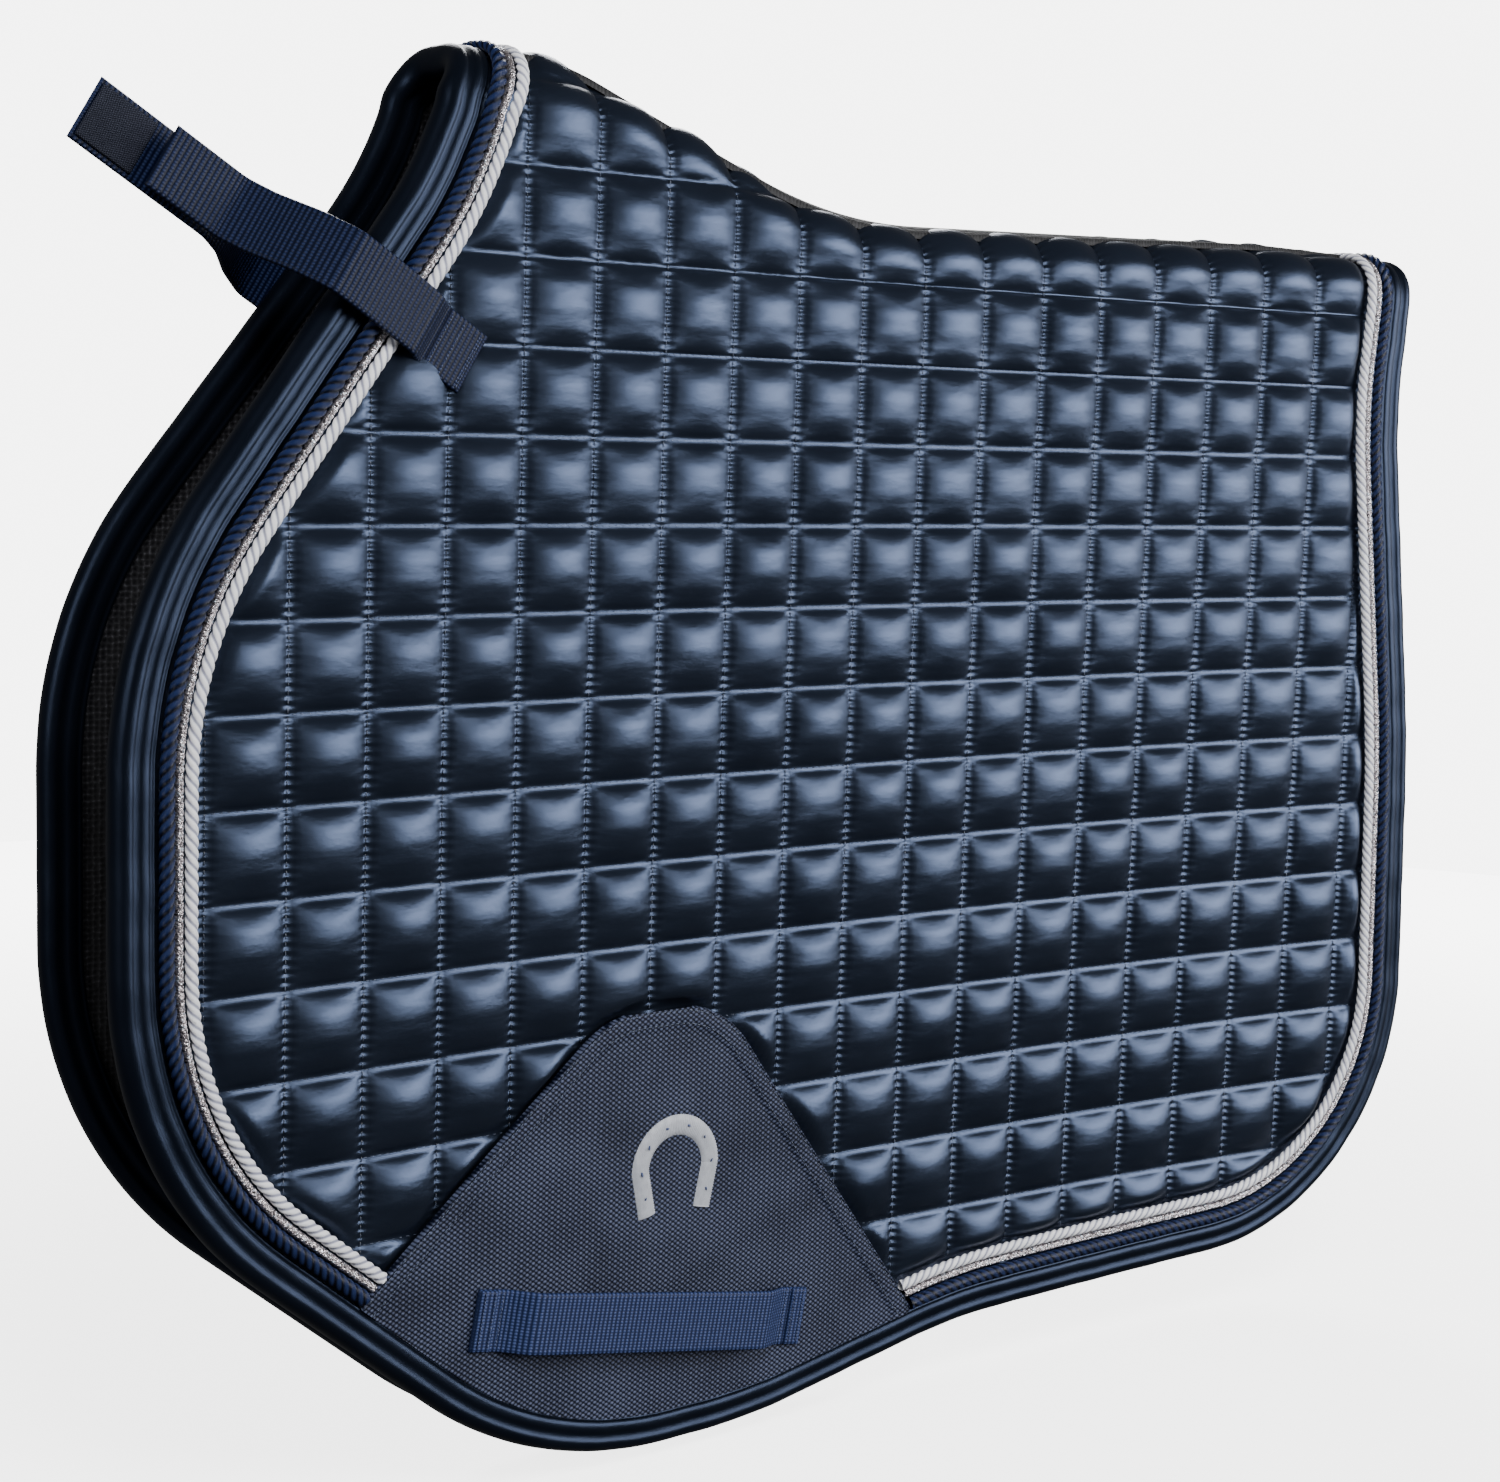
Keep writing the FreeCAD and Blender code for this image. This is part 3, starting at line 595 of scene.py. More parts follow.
@dataclass(frozen=True)
class RopeFinish:
    """Twisted cord: fine filaments run along each strand; the lay between the strands is darkened as painted
    shade and each strand's crown is lightened as a painted highlight.
    """

    name: str
    # groove colour: painted shade in the lay; light colour: painted highlight on the strand crowns
    groove: tuple[float, float, float]
    deep: tuple[float, float, float]
    light: tuple[float, float, float]
    strand_pitch: float = 4.3
    filament_pitch: float = 0.42
    roughness: float = 0.36

    def build(self) -> bpy.types.Material:
        """Makes the material."""
        n = Nodes(self.name)
        flat = n.flat()
        lay = n.wave(flat, wave_scale(self.strand_pitch), "X")
        filament = n.wave(n.scaled(flat, (1, 0.35, 1)), wave_scale(self.filament_pitch), "X", 0.8)
        soil = n.noise(flat, 160.0, 3.0)
        body = n.math("ADD", n.math("MULTIPLY", filament, 0.4), n.math("MULTIPLY", soil, 0.3))
        # painted shade to painted highlight: 0 in the lay between strands, 1 on each strand's crown
        crest = n.math("SUBTRACT", 1.0, n.math("POWER", lay, 2.4))
        colour = n.ramp(n.math("MULTIPLY", crest, n.math("ADD", body, 0.45)),
                        [(0.12, self.groove), (0.5, self.deep), (0.88, self.light)])
        normal = n.bump(filament, 0.00012, 0.9)
        return n.finish(Base_Color=colour, Roughness=self.roughness, Normal=normal, Specular_IOR_Level=0.4)


@dataclass(frozen=True)
class GlitterFinish:
    """Metallic braid: small bright facets, each at its own tilt, with a few that catch pink or blue."""

    name: str
    facet: float = 0.7

    def build(self) -> bpy.types.Material:
        """Makes the material."""
        n = Nodes(self.name)
        cells = n.add("ShaderNodeTexVoronoi", {"Vector": n.flat(), "Scale": 1 / (self.facet * MM)})
        tone = n.add("ShaderNodeSeparateColor", {"Color": cells.outputs["Color"]})
        colour = n.ramp(tone.outputs["Red"], [(0.0, (0.16, 0.14, 0.15)), (0.3, (0.55, 0.5, 0.52)),
                                              (0.7, (0.92, 0.84, 0.86)), (1.0, (0.8, 0.9, 1.0))])
        rough = n.add("ShaderNodeMapRange", {"Value": tone.outputs["Green"], "To Min": 0.12,
                                             "To Max": 0.45}).outputs["Result"]
        normal = n.bump(cells.outputs["Distance"], 0.0006, 1.0)
        return n.finish(Base_Color=colour, Roughness=rough, Normal=normal, Metallic=0.9)


@dataclass(frozen=True)
class WovenFinish:
    """Basket weave: two sets of yarns that pass over and under, with painted highlights on the raised ones
    and painted shade where they dip.
    """

    name: str
    deep: tuple[float, float, float]
    painted_glint: tuple[float, float, float]
    pitch: tuple[float, float] = (1.9, 1.5)
    relief: float = 0.25
    turn: float = 0.0
    roughness: float = 0.6

    def build(self) -> bpy.types.Material:
        """Makes the material."""
        n = Nodes(self.name)
        flat = n.scaled(n.flat(), (1, 1, 1), self.turn)
        warp = n.wave(flat, wave_scale(self.pitch[0]), "X", 0.35)
        weft = n.wave(flat, wave_scale(self.pitch[1]), "Y", 0.35)
        over = n.math("MULTIPLY", warp, weft)
        under = n.math("MULTIPLY", n.math("SUBTRACT", 1.0, warp), n.math("SUBTRACT", 1.0, weft))
        weave = n.math("MAXIMUM", over, n.math("MULTIPLY", under, 0.75))
        wear = n.noise(n.flat(), 30.0, 4.0)
        # painted shade where the yarns dip, painted highlight on the raised yarns
        colour = n.ramp(n.math("MULTIPLY", weave, n.math("ADD", wear, 0.55)),
                        [(0.22, self.deep), (0.95, self.painted_glint)])
        normal = n.bump(weave, self.relief * MM, 1.0)
        return n.finish(Base_Color=colour, Roughness=self.roughness, Normal=normal, Specular_IOR_Level=0.16)


@dataclass(frozen=True)
class WebbingFinish:
    """Ribbed webbing: ribs across the width in fine rows, each with a column of floats lightened as a painted
    highlight, and painted shade between the ribs.
    """

    name: str
    deep: tuple[float, float, float]
    rib: tuple[float, float, float]
    rib_pitch: float = 2.2
    row_pitch: float = 1.3

    def build(self) -> bpy.types.Material:
        """Makes the material."""
        n = Nodes(self.name)
        flat = n.flat()
        ribs = n.wave(flat, wave_scale(self.rib_pitch), "X", 0.25)
        rows = n.wave(flat, wave_scale(self.row_pitch), "Y", 0.25)
        bead = n.math("MULTIPLY", ribs, n.math("ADD", n.math("MULTIPLY", rows, 0.6), 0.4))
        fuzz = n.noise(flat, 420.0, 3.0)
        # painted shade between the ribs, painted highlight on the floats of each rib
        colour = n.ramp(n.math("MULTIPLY", bead, n.math("ADD", fuzz, 0.45)),
                        [(0.08, self.deep), (0.8, self.rib)])
        normal = n.bump(bead, 0.00035, 0.9)
        return n.finish(Base_Color=colour, Roughness=0.5, Normal=normal, Specular_IOR_Level=0.2)


@dataclass(frozen=True)
class MeshFinish:
    """Air mesh: small holes in staggered rows, painted near-black as painted shade, with painted highlight
    specks where filaments catch the light.
    """

    name: str
    yarn: tuple[float, float, float]
    hole: float = 2.4

    def build(self) -> bpy.types.Material:
        """Makes the material."""
        n = Nodes(self.name)
        cells = n.add("ShaderNodeTexVoronoi", {"Vector": n.flat(), "Scale": 1 / (self.hole * MM),
                                               "Randomness": 0.25})
        painted_speck_highlight = n.noise(n.flat(), 900.0, 2.0)
        mixed = n.math("ADD", n.math("MULTIPLY", cells.outputs["Distance"], 0.7),
                       n.math("MULTIPLY", painted_speck_highlight, 0.45))
        # near-black holes are painted shade; the brightest stop is a painted highlight on filament specks
        colour = n.ramp(mixed, [(0.35, (0.002, 0.002, 0.003)), (0.62, self.yarn),
                                (0.8, tuple(4 * c for c in self.yarn))])
        normal = n.bump(cells.outputs["Distance"], 0.0006, 1.0)
        return n.finish(Base_Color=colour, Roughness=0.72, Normal=normal, Sheen_Weight=0.1,
                        Sheen_Roughness=0.5)


@dataclass(frozen=True)
class ThreadFinish:
    """Sewing or embroidery thread: two twisted plies, darker between them as painted shade and lighter on
    each as a painted highlight, with a soft gleam.
    """

    name: str
    deep: tuple[float, float, float]
    light: tuple[float, float, float]
    ply: float = 0.5

    def build(self) -> bpy.types.Material:
        """Makes the material."""
        n = Nodes(self.name)
        place = n.solid()
        plies = n.wave(n.scaled(place, (1, 1, 1), 30), wave_scale(self.ply), "X", 1.5)
        fuzz = n.math("MULTIPLY", n.noise(place, 300), 0.4)
        # painted shade between the plies, painted highlight on each ply
        colour = n.ramp(n.math("ADD", n.math("MULTIPLY", plies, 0.6), fuzz),
                        [(0.25, self.deep), (0.7, self.light)])
        return n.finish(Base_Color=colour, Roughness=0.4, Normal=n.bump(plies, 0.00008, 0.8),
                        Sheen_Weight=0.2)


@dataclass(frozen=True)
class FoamFinish:
    """Open foam wadding: fine cells, darkened towards their middles as painted shade in the pores, on a pale
    ground.
    """

    name: str
    tone: tuple[float, float, float] = (0.82, 0.81, 0.76)

    def build(self) -> bpy.types.Material:
        """Makes the material."""
        n = Nodes(self.name)
        cells = n.add("ShaderNodeTexVoronoi", {"Vector": n.solid(), "Scale": 900.0}).outputs["Distance"]
        # painted shade: darker towards each cell's middle, in the pore
        colour = n.ramp(cells, [(0.1, tuple(0.7 * c for c in self.tone)), (0.6, self.tone)])
        return n.finish(Base_Color=colour, Roughness=0.95, Normal=n.bump(cells, 0.0004, 0.8))


@dataclass(frozen=True)
class PlainGroundFinish:
    """Pale studio ground with a faint grain."""

    name: str = "studio_ground"
    near_glow: float = 3.4
    far_glow: float = 6.0

    def build(self) -> bpy.types.Material:
        """Makes the material: it glows more with distance, so that no horizon shows."""
        n = Nodes(self.name)
        grain = n.noise(n.solid(), 40.0, 2.0)
        away = n.add("ShaderNodeVectorMath", {"Vector": n.solid()}, operation="LENGTH").outputs["Value"]
        glow = n.add("ShaderNodeMapRange", {"Value": away, "From Min": 0.6, "From Max": 1.6,
                                            "To Min": self.near_glow, "To Max": self.far_glow},
                     interpolation_type="SMOOTHSTEP").outputs["Result"]
        return n.finish(Base_Color=n.ramp(grain, [(0.3, (0.86, 0.86, 0.86)), (0.7, (0.9, 0.9, 0.9))]),
                        Roughness=0.8, Emission_Color=(1, 1, 1, 1), Emission_Strength=glow)


class Finishes:
    """All of the pad's finishes, each made once."""

    def __init__(self) -> None:
        recipes = {
            "satin": SatinFinish("navy_quilt_satin", (0.026, 0.036, 0.062), (0.046, 0.061, 0.100),
                                 seam_pitch=35.0),
            "binding": SatinFinish("binding_satin_finish", (0.010, 0.0145, 0.027), (0.019, 0.026, 0.046),
                                   roughness=0.38, anisotropy=0.35),
            # cords: first colour is painted shade in the lay, last a painted highlight on the strand crowns
            "navy_rope": RopeFinish("navy_twist", (0.0006, 0.0014, 0.006), (0.003, 0.007, 0.028),
                                    (0.010, 0.021, 0.078)),
            "white_rope": RopeFinish("silver_white_twist", (0.30, 0.31, 0.40), (0.72, 0.73, 0.80),
                                     (0.97, 0.97, 0.98)),
            "glitter": GlitterFinish("metallic_braid"),
            # patch: first colour is painted shade where the yarns dip, second a painted highlight on the
            # raised yarns
            "patch": WovenFinish("ballistic_nylon", (0.0010, 0.0022, 0.008), (0.082, 0.098, 0.165),
                                  (3.0, 2.2), 0.34),
            # webbing: second colour is a painted highlight on the rib floats, first painted shade between the
            # ribs
            "loop": WebbingFinish("loop_ribbed_webbing", (0.005, 0.010, 0.036), (0.045, 0.068, 0.175)),
            "strap": WebbingFinish("strap_ribbed_webbing", (0.0012, 0.0028, 0.011), (0.015, 0.023, 0.064)),
            # air mesh: holes painted near-black as painted shade, brightest specks a painted highlight
            "mesh": MeshFinish("black_air_mesh", (0.012, 0.012, 0.014)),
            "spine": MeshFinish("spine_air_mesh", (0.010, 0.010, 0.012), 1.8),
            # threads: first colour is painted shade between the plies, second a painted highlight on the
            # plies
            "thread": ThreadFinish("quilting_thread", (0.012, 0.019, 0.038), (0.075, 0.10, 0.165)),
            "navy_thread": ThreadFinish("tacking_thread", (0.01, 0.02, 0.06), (0.05, 0.08, 0.2)),
            "silver_thread": ThreadFinish("embroidery_thread", (0.16, 0.17, 0.2), (0.5, 0.52, 0.57)),
            # foam: darker in the pores as painted shade
            "foam": FoamFinish("open_foam"),
            # tape: first colour is painted shade where the yarns dip, second a painted highlight on the
            # raised yarns
            "tape": WovenFinish("hook_pile_tape", (0.004, 0.005, 0.010), (0.05, 0.055, 0.08),
                                (0.9, 0.9), 0.4),
        }
        self.made = {key: recipe.build() for key, recipe in recipes.items()}

    def __getitem__(self, key: str) -> bpy.types.Material:
        """The finished material of that name."""
        return self.made[key]


# -- sub-assemblies ------------------------------------------------------------------------------


def dress(piece: bpy.types.Object, slot: str, *nodes: str) -> bpy.types.Object:
    """Hides the frame nodes that a piece stands for and logs its face count."""
    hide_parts(*nodes)
    LOG.info("%s: %d faces for %s", piece.name, len(piece.data.polygons), ", ".join(nodes))
    return piece


@dataclass
class Hinging:
    """Cloth between the crest and a flap: each piece only has its transform baked into its mesh; it is not
    turned over the shoulder of the fold.
    """

    side: Side
    reach: float = 26.0
    before: float = 6.8

    def turn(self, piece: bpy.types.Object) -> None:
        """Bakes the piece's transform into its mesh; it does not make the piece follow the crest or its flap.
        """
        joint = next(j for j in frame["record"]["behaviour"]["joints"]
                     if j["name"] == self.side.word + "_flap_hinge")
        self.side.word + "_flap"
        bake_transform(piece)


@dataclass
class FlapPart:
    """Anything built on one side's skin."""

    skin: Skin
    finishes: Finishes

    @property
    def word(self) -> str:
        """The side's name, as the frame's nodes spell it."""
        return self.skin.side.word

    @property
    def right(self) -> bool:
        """Whether it lies on the horse's right, where its grids are turned over."""
        return self.skin.side is Side.RIGHT

    def piece(self, writer: MeshWriter, name: str, finish: str, slot: str, *nodes: str) -> bpy.types.Object:
        """Writes one piece of this side.

        Args:
            writer: its mesh.
            name: its name without the side.
            finish: the key of its finish.
            slot: the record's slot; not used.
            nodes: the frame nodes it stands for, those of the flap without the side.

        Returns:
            The dressed object.
        """
        made = writer.write(self.word + "_" + name, self.finishes[finish])
        return dress(made, slot, *(n if n.startswith("crest") else self.word + "_" + n for n in nodes))


@dataclass
class QuiltedPanel(FlapPart):
    """One flap's quilted satin, wadding and lining, from the middle plane down to the edge."""

    patch_ring: np.ndarray
    square: float = 35.0
    seam_x: float = -60.0
    seam_z: float = -190.0
    columns_per_square: int = 14
    rows_per_square: int = 16
    seam_depth: float = 1.9
    pillow: float = 6.2
    patch_press: float = 7.0
    hidden_edge: float = 6.0
    trim_inner: float = 33.0
    stitch: float = 2.3
    stitch_pitch: float = 3.4
    stitch_proud: float = 0.4
    level_sink: float = 0.55
    rng: np.random.Generator = field(default_factory=lambda: np.random.default_rng(SEED))
    area: float = field(init=False, default=0.0)

    def grid(self, columns: int, rows: int, fold_rows: int) -> tuple[np.ndarray, np.ndarray]:
        """Place along and past the bend of a grid over the whole half, from the hem up to the middle.

        Args:
            columns: columns per square.
            rows: rows per square.
            fold_rows: rows over the fold.

        Returns:
            x and roll arrays of the same shape.
        """
        shape = self.skin.shape
        first = math.floor((-shape.front_reach - self.seam_x) / self.square)
        last = math.ceil((shape.rear_reach - self.seam_x) / self.square)
        x = self.seam_x + self.square * np.linspace(first, last, (last - first) * columns + 1)
        low = math.floor((-shape.drop - self.seam_z) / self.square)
        steady = 4
        z = self.seam_z + self.square * np.linspace(low, steady, (steady - low) * rows + 1)
        upper = np.linspace(0, 1, rows * 4 + 1)[1:]
        bend = self.skin.bend(x)
        lower_roll = z[:, None] - bend[None]
        upper_roll = lower_roll[-1] * (1 - upper[:, None])
        fold_roll = np.linspace(0, 1, fold_rows + 1)[1:, None] * self.skin.roll_end(x)[None]
        roll = np.concatenate([lower_roll, upper_roll, fold_roll])
        return np.broadcast_to(x[None], roll.shape), roll

    def edge_room(self, x: np.ndarray, roll: np.ndarray) -> np.ndarray:
        """Distance of each grid point inside the flap's edge."""
        seen_z = self.skin.place(x, roll, 0.0)[..., 2]
        flat = np.stack([x.ravel(), seen_z.ravel()], axis=1)
        return inside_distance(flat, self.skin.ring).reshape(x.shape)

    def pillow_height(self, x: np.ndarray, roll: np.ndarray, room: np.ndarray) -> np.ndarray:
        """Height of the quilted pillows over the seams, in millimetres.

        Each pillow sags a little: it is fullest below its middle and slack under its upper seam.
        """
        z = self.skin.bend(x) + roll
        cell_x = (x - self.seam_x) / self.square
        cell_z = (z - self.seam_z) / self.square
        along, up = cell_x % 1, cell_z % 1
        lot = self.rng.random((64, 64))
        pick = lot[np.floor(cell_x).astype(int) % 64, np.floor(cell_z).astype(int) % 64]
        sag = up ** 1.22
        swell = np.clip(np.sin(np.pi * along), 0, 1) ** 0.56 * np.clip(np.sin(np.pi * sag), 0, 1) ** 0.52
        slack = np.exp(-((1 - up) / 0.16) ** 2) * np.sin(np.pi * along) * 0.16
        off = np.abs(along - np.round(along)) * self.square
        gathers = np.sin(2 * np.pi * z / 8.9 + 6 * pick) * np.exp(-off / 5.0) * 0.05 * (off / 5.0)
        swell = swell * (0.88 + 0.24 * pick) - slack * swell + gathers
        seen = np.stack([x.ravel(), z.ravel()], axis=1)
        off_patch = -inside_distance(seen, self.patch_ring).reshape(x.shape)
        pressed = smoothstep((off_patch + 1.0) / self.patch_press)
        return self.pillow * swell * pressed * smoothstep((room - self.trim_inner + 3) / 8.0)

    def satin(self) -> bpy.types.Object:
        """The quilted outer cloth."""
        x, roll = self.grid(self.columns_per_square, self.rows_per_square, 20)
        room = self.edge_room(x, roll)
        lift = self.pillow_height(x, roll, room)
        base = self.skin.place(x, roll, 0.0)
        points = base + self.skin.outward(x, roll) * (lift - self.seam_depth)[..., None]
        writer = MeshWriter()
        flats = np.stack([x - self.seam_x, self.skin.bend(x) + roll - self.seam_z], axis=-1)
        keep = self.face_room(room) > self.hidden_edge
        writer.grid(points, flats, keep, flip=self.right)
        self.area = self.flat_area(base, keep)
        return self.piece(writer, "quilted_satin", "satin", "navy_satin", "satin_panel", "crest_cover")

    @staticmethod
    def face_room(room: np.ndarray) -> np.ndarray:
        """The least edge room of each face's corners."""
        return np.minimum.reduce([room[:-1, :-1], room[1:, :-1], room[:-1, 1:], room[1:, 1:]])

    @staticmethod
    def flat_area(points: np.ndarray, keep: np.ndarray) -> float:
        """Area of the kept faces of a grid in square metres."""
        one = np.cross(points[1:, 1:] - points[:-1, :-1], points[1:, :-1] - points[:-1, 1:])
        return float((np.linalg.norm(one, axis=-1)[keep] / 2).sum()) * MM * MM

    def inner_sheet(self, name: str, key: str, slot: str, depth: float, dimple: float,
                    nodes: tuple[str, ...], thickness: float = 0.0) -> bpy.types.Object:
        """The lining, or a closed slab of wadding if a thickness is given."""
        x, roll = self.grid(7, 7, 12)
        room = self.edge_room(x, roll)
        lift = self.pillow_height(x, roll, room) / self.pillow * dimple
        keep = self.face_room(room) > self.hidden_edge
        writer = MeshWriter()
        flats = np.stack([x, self.skin.bend(x) + roll], axis=-1)
        outward = self.skin.outward(x, roll)
        right = self.skin.side is Side.RIGHT
        points = self.skin.place(x, roll, depth) - outward * lift[..., None]
        writer.grid(points, flats, keep, flip=not right)
        if thickness:
            writer.grid(self.skin.place(x, roll, depth - thickness), flats, keep, flip=right)
        piece = writer.write("%s_%s" % (self.skin.side.word, name), self.finishes[key])
        return dress(piece, slot, *nodes)

    def stitches(self) -> bpy.types.Object:
        """Quilting thread along every seam."""
        shape, writer = self.skin.shape, MeshWriter()
        first = math.floor((-shape.front_reach - self.seam_x) / self.square)
        last = math.ceil((shape.rear_reach - self.seam_x) / self.square)
        low = math.floor((-shape.drop - self.seam_z) / self.square)
        xs = np.arange(-shape.front_reach, shape.rear_reach, self.stitch_pitch)
        zs = np.arange(-shape.drop, shape.wither_height, self.stitch_pitch)
        level = [(xs, np.full_like(xs, self.seam_z + k * self.square)) for k in range(low, 8)]
        upright = [(np.full_like(zs, self.seam_x + k * self.square), zs) for k in range(first, last + 1)]
        for lines, across in ((level, False), (upright, True)):
            x = np.concatenate([line[0] for line in lines])
            z = np.concatenate([line[1] for line in lines])
            roll = z - self.skin.bend(x)
            room = inside_distance(np.stack([x, z], axis=1), self.skin.ring)
            off_patch = inside_distance(np.stack([x, z], axis=1), self.patch_ring) < 0
            shown = (room > self.trim_inner) & (roll < 4.0) & off_patch
            x, roll = x[shown], roll[shown]
            depth = self.seam_depth - self.stitch_proud + (0.0 if across else self.level_sink)
            here = self.skin.place(x, roll, depth)
            step = (0.0, 0.5) if across else (0.5, 0.0)
            there = self.skin.place(x + step[0], roll + step[1], depth)
            along = unit(there - here)
            bead = (self.stitch, 0.5, 0.7) if across else (self.stitch, 0.4, 0.8)
            writer.beads(here, along, self.skin.outward(x, roll), bead)
        return self.piece(writer, "quilting_stitches", "thread", "silver_thread", "satin_panel")

    def build(self) -> list[bpy.types.Object]:
        """Makes all layers of this half."""
        side = self.skin.side.word
        satin = self.satin()
        wadding = self.inner_sheet("wadding_slab", "foam", "foam_wadding", 8.2, 0.0,
                                   (side + "_wadding", "crest_wadding"), thickness=4.6)
        lining = self.inner_sheet("air_mesh_lining", "mesh", "black_mesh", 9.2, 0.9,
                                  (side + "_mesh_lining", "crest_lining"))
        return [satin, wadding, lining, self.stitches()]


@dataclass
class EdgeBinding(FlapPart):
    """Satin turned round the flap's edge over a soft roll, with a seam line inside it on both faces."""

    width: float = 16.0
    proud: float = 0.9
    roll: float = 5.4
    groove: float = 0.9

    def profile(self) -> np.ndarray:
        """Inset and lift of the binding's outer surface, then back along its inside."""
        thick = self.skin.shape.thickness
        face = [(self.width, -0.3), (self.width - 0.5, self.proud), (self.width - 1.6, self.proud + 0.15),
                (self.width - 2.3, self.proud - 0.35), (self.width - 3.0, self.proud + 0.2),
                (12.0, self.proud + 0.5), (9.4, self.proud + 0.35), (7.6, self.proud - self.groove),
                (6.2, self.proud + 0.3), (4.6, self.proud + 0.5)]
        round_edge = [(4.2 - 4.2 * math.sin(a), -thick / 2 + (thick / 2 + self.proud + 0.2) * math.cos(a))
                      for a in np.linspace(0.35, math.pi - 0.35, 11)]
        back = [(inset, -thick - lift) for inset, lift in face[::-1]]
        inside = [(self.width - 1.5, -thick + 0.4), (4.0, -thick + 1.0), (2.0, -thick / 2), (4.0, -1.0),
                  (self.width - 1.5, -0.4)]
        return np.array(face + round_edge + back + inside)

    def build(self, path: Path) -> bpy.types.Object:
        """Sweeps the binding along the whole edge."""
        line = path.resampled(2.2)
        ripple = np.sin(line.length_at() / 5.3) * 0.12 + np.sin(line.length_at() / 3.1) * 0.06
        line = Path(line.points + line.outward * ripple[:, None], line.inward, line.outward)
        writer = MeshWriter()
        sweep(writer, line, self.profile())
        return self.piece(writer, "bound_edge", "binding", "binding_satin", "edge_binding",
                          "crest_front_binding", "crest_rear_binding")


@dataclass(frozen=True)
class Trim:
    """One sewn-down trim: its section in millimetres, and the hand of its twist or 0 for a braid."""

    label: str
    finish: str
    slot: str
    width: float
    height: float
    hand: int


TRIMS = (Trim("navy_cord", "navy_rope", "navy_rope", 6.2, 4.6, 1),
         Trim("glitter_braid", "glitter", "glitter_braid", 4.0, 3.0, 0),
         Trim("white_cord", "white_rope", "white_rope", 5.2, 4.1, -1))


@dataclass
class TrimCords(FlapPart):
    """Twisted navy cord, metallic braid and twisted white cord inside the binding, in two runs."""

    patch_ring: np.ndarray
    gap: float = 0.3
    first_inset: float = 16.3
    strands: int = 3
    strand_pitch: float = 4.3
    split_x: float = -187.0
    sink: float = 0.1

    def rope(self, name: str, path: Path, trim: Trim) -> bpy.types.Object:
        """Sweeps a lobed section that turns as it goes."""
        line = path.shifted(0, trim.height / 2 - self.sink).resampled(0.75)
        lengths = line.length_at()
        around = np.linspace(-math.pi / 2, 1.5 * math.pi, 22, endpoint=False)
        turn = trim.hand * self.skin.side.value * 2 * math.pi * lengths / (self.strand_pitch * self.strands)
        phase = self.strands * (around[None] + turn[:, None])
        swell = 0.66 + 0.36 * np.abs(np.cos(phase / 2)) ** 0.75
        inset = swell * np.cos(around)[None] * trim.width / 2
        lift = swell * np.sin(around)[None] * trim.height / 2
        points = (line.points[:, None] + line.inward[:, None] * inset[..., None]
                  + line.outward[:, None] * lift[..., None])
        lay = phase / (2 * math.pi) * self.strand_pitch
        flats = np.stack(np.broadcast_arrays(lay, lengths[:, None]), axis=-1)
        writer = MeshWriter()
        writer.grid(points, flats, loop=True)
        return writer.write(name + "_twist", self.finishes[trim.finish])

    def braid(self, name: str, path: Path, trim: Trim) -> bpy.types.Object:
        """Sweeps a rounded flat braid whose crossing plaits stand up as knuckles."""
        line = path.resampled(0.7)
        lengths = line.length_at()
        across = np.linspace(-1, 1, 9)
        crown = np.sqrt(np.clip(1 - 0.85 * across ** 2, 0, 1))
        plait = np.abs(np.sin(math.pi * lengths[:, None] / 2.6 + across[None] * 2.2))
        other = np.abs(np.sin(math.pi * lengths[:, None] / 2.6 - across[None] * 2.2))
        lift = crown[None] * trim.height * (0.66 + 0.34 * np.maximum(plait, other))
        lift[:, 0] = lift[:, -1] = -0.4
        points = (line.points[:, None] + line.inward[:, None] * (across * trim.width / 2)[None, :, None]
                  + line.outward[:, None] * lift[..., None])
        flats = np.stack(np.broadcast_arrays(lengths[:, None], (across * trim.width / 2)[None]), axis=-1)
        writer = MeshWriter()
        writer.grid(points, flats)
        return writer.write(name + "_plait", self.finishes[trim.finish])

    def build(self, path: Path) -> list[bpy.types.Object]:
        """Makes both runs of all three trims."""
        made, inset = [], self.first_inset
        for trim in TRIMS:
            line = path.shifted(inset + trim.width / 2, 0.0)
            inset += trim.width + self.gap
            seen = line.points[:, [0, 2]]
            free = inside_distance(seen, self.patch_ring) < 0
            ahead = seen[:, 0] < self.split_x
            for run in Run:
                part = line.kept(free & (ahead if run is Run.FRONT else ~ahead))
                name = "%s_%s_%s" % (self.skin.side.word, run.value, trim.label)
                piece = (self.rope if trim.hand else self.braid)(name, part, trim)
                made.append(dress(piece, trim.slot, name))
        return made


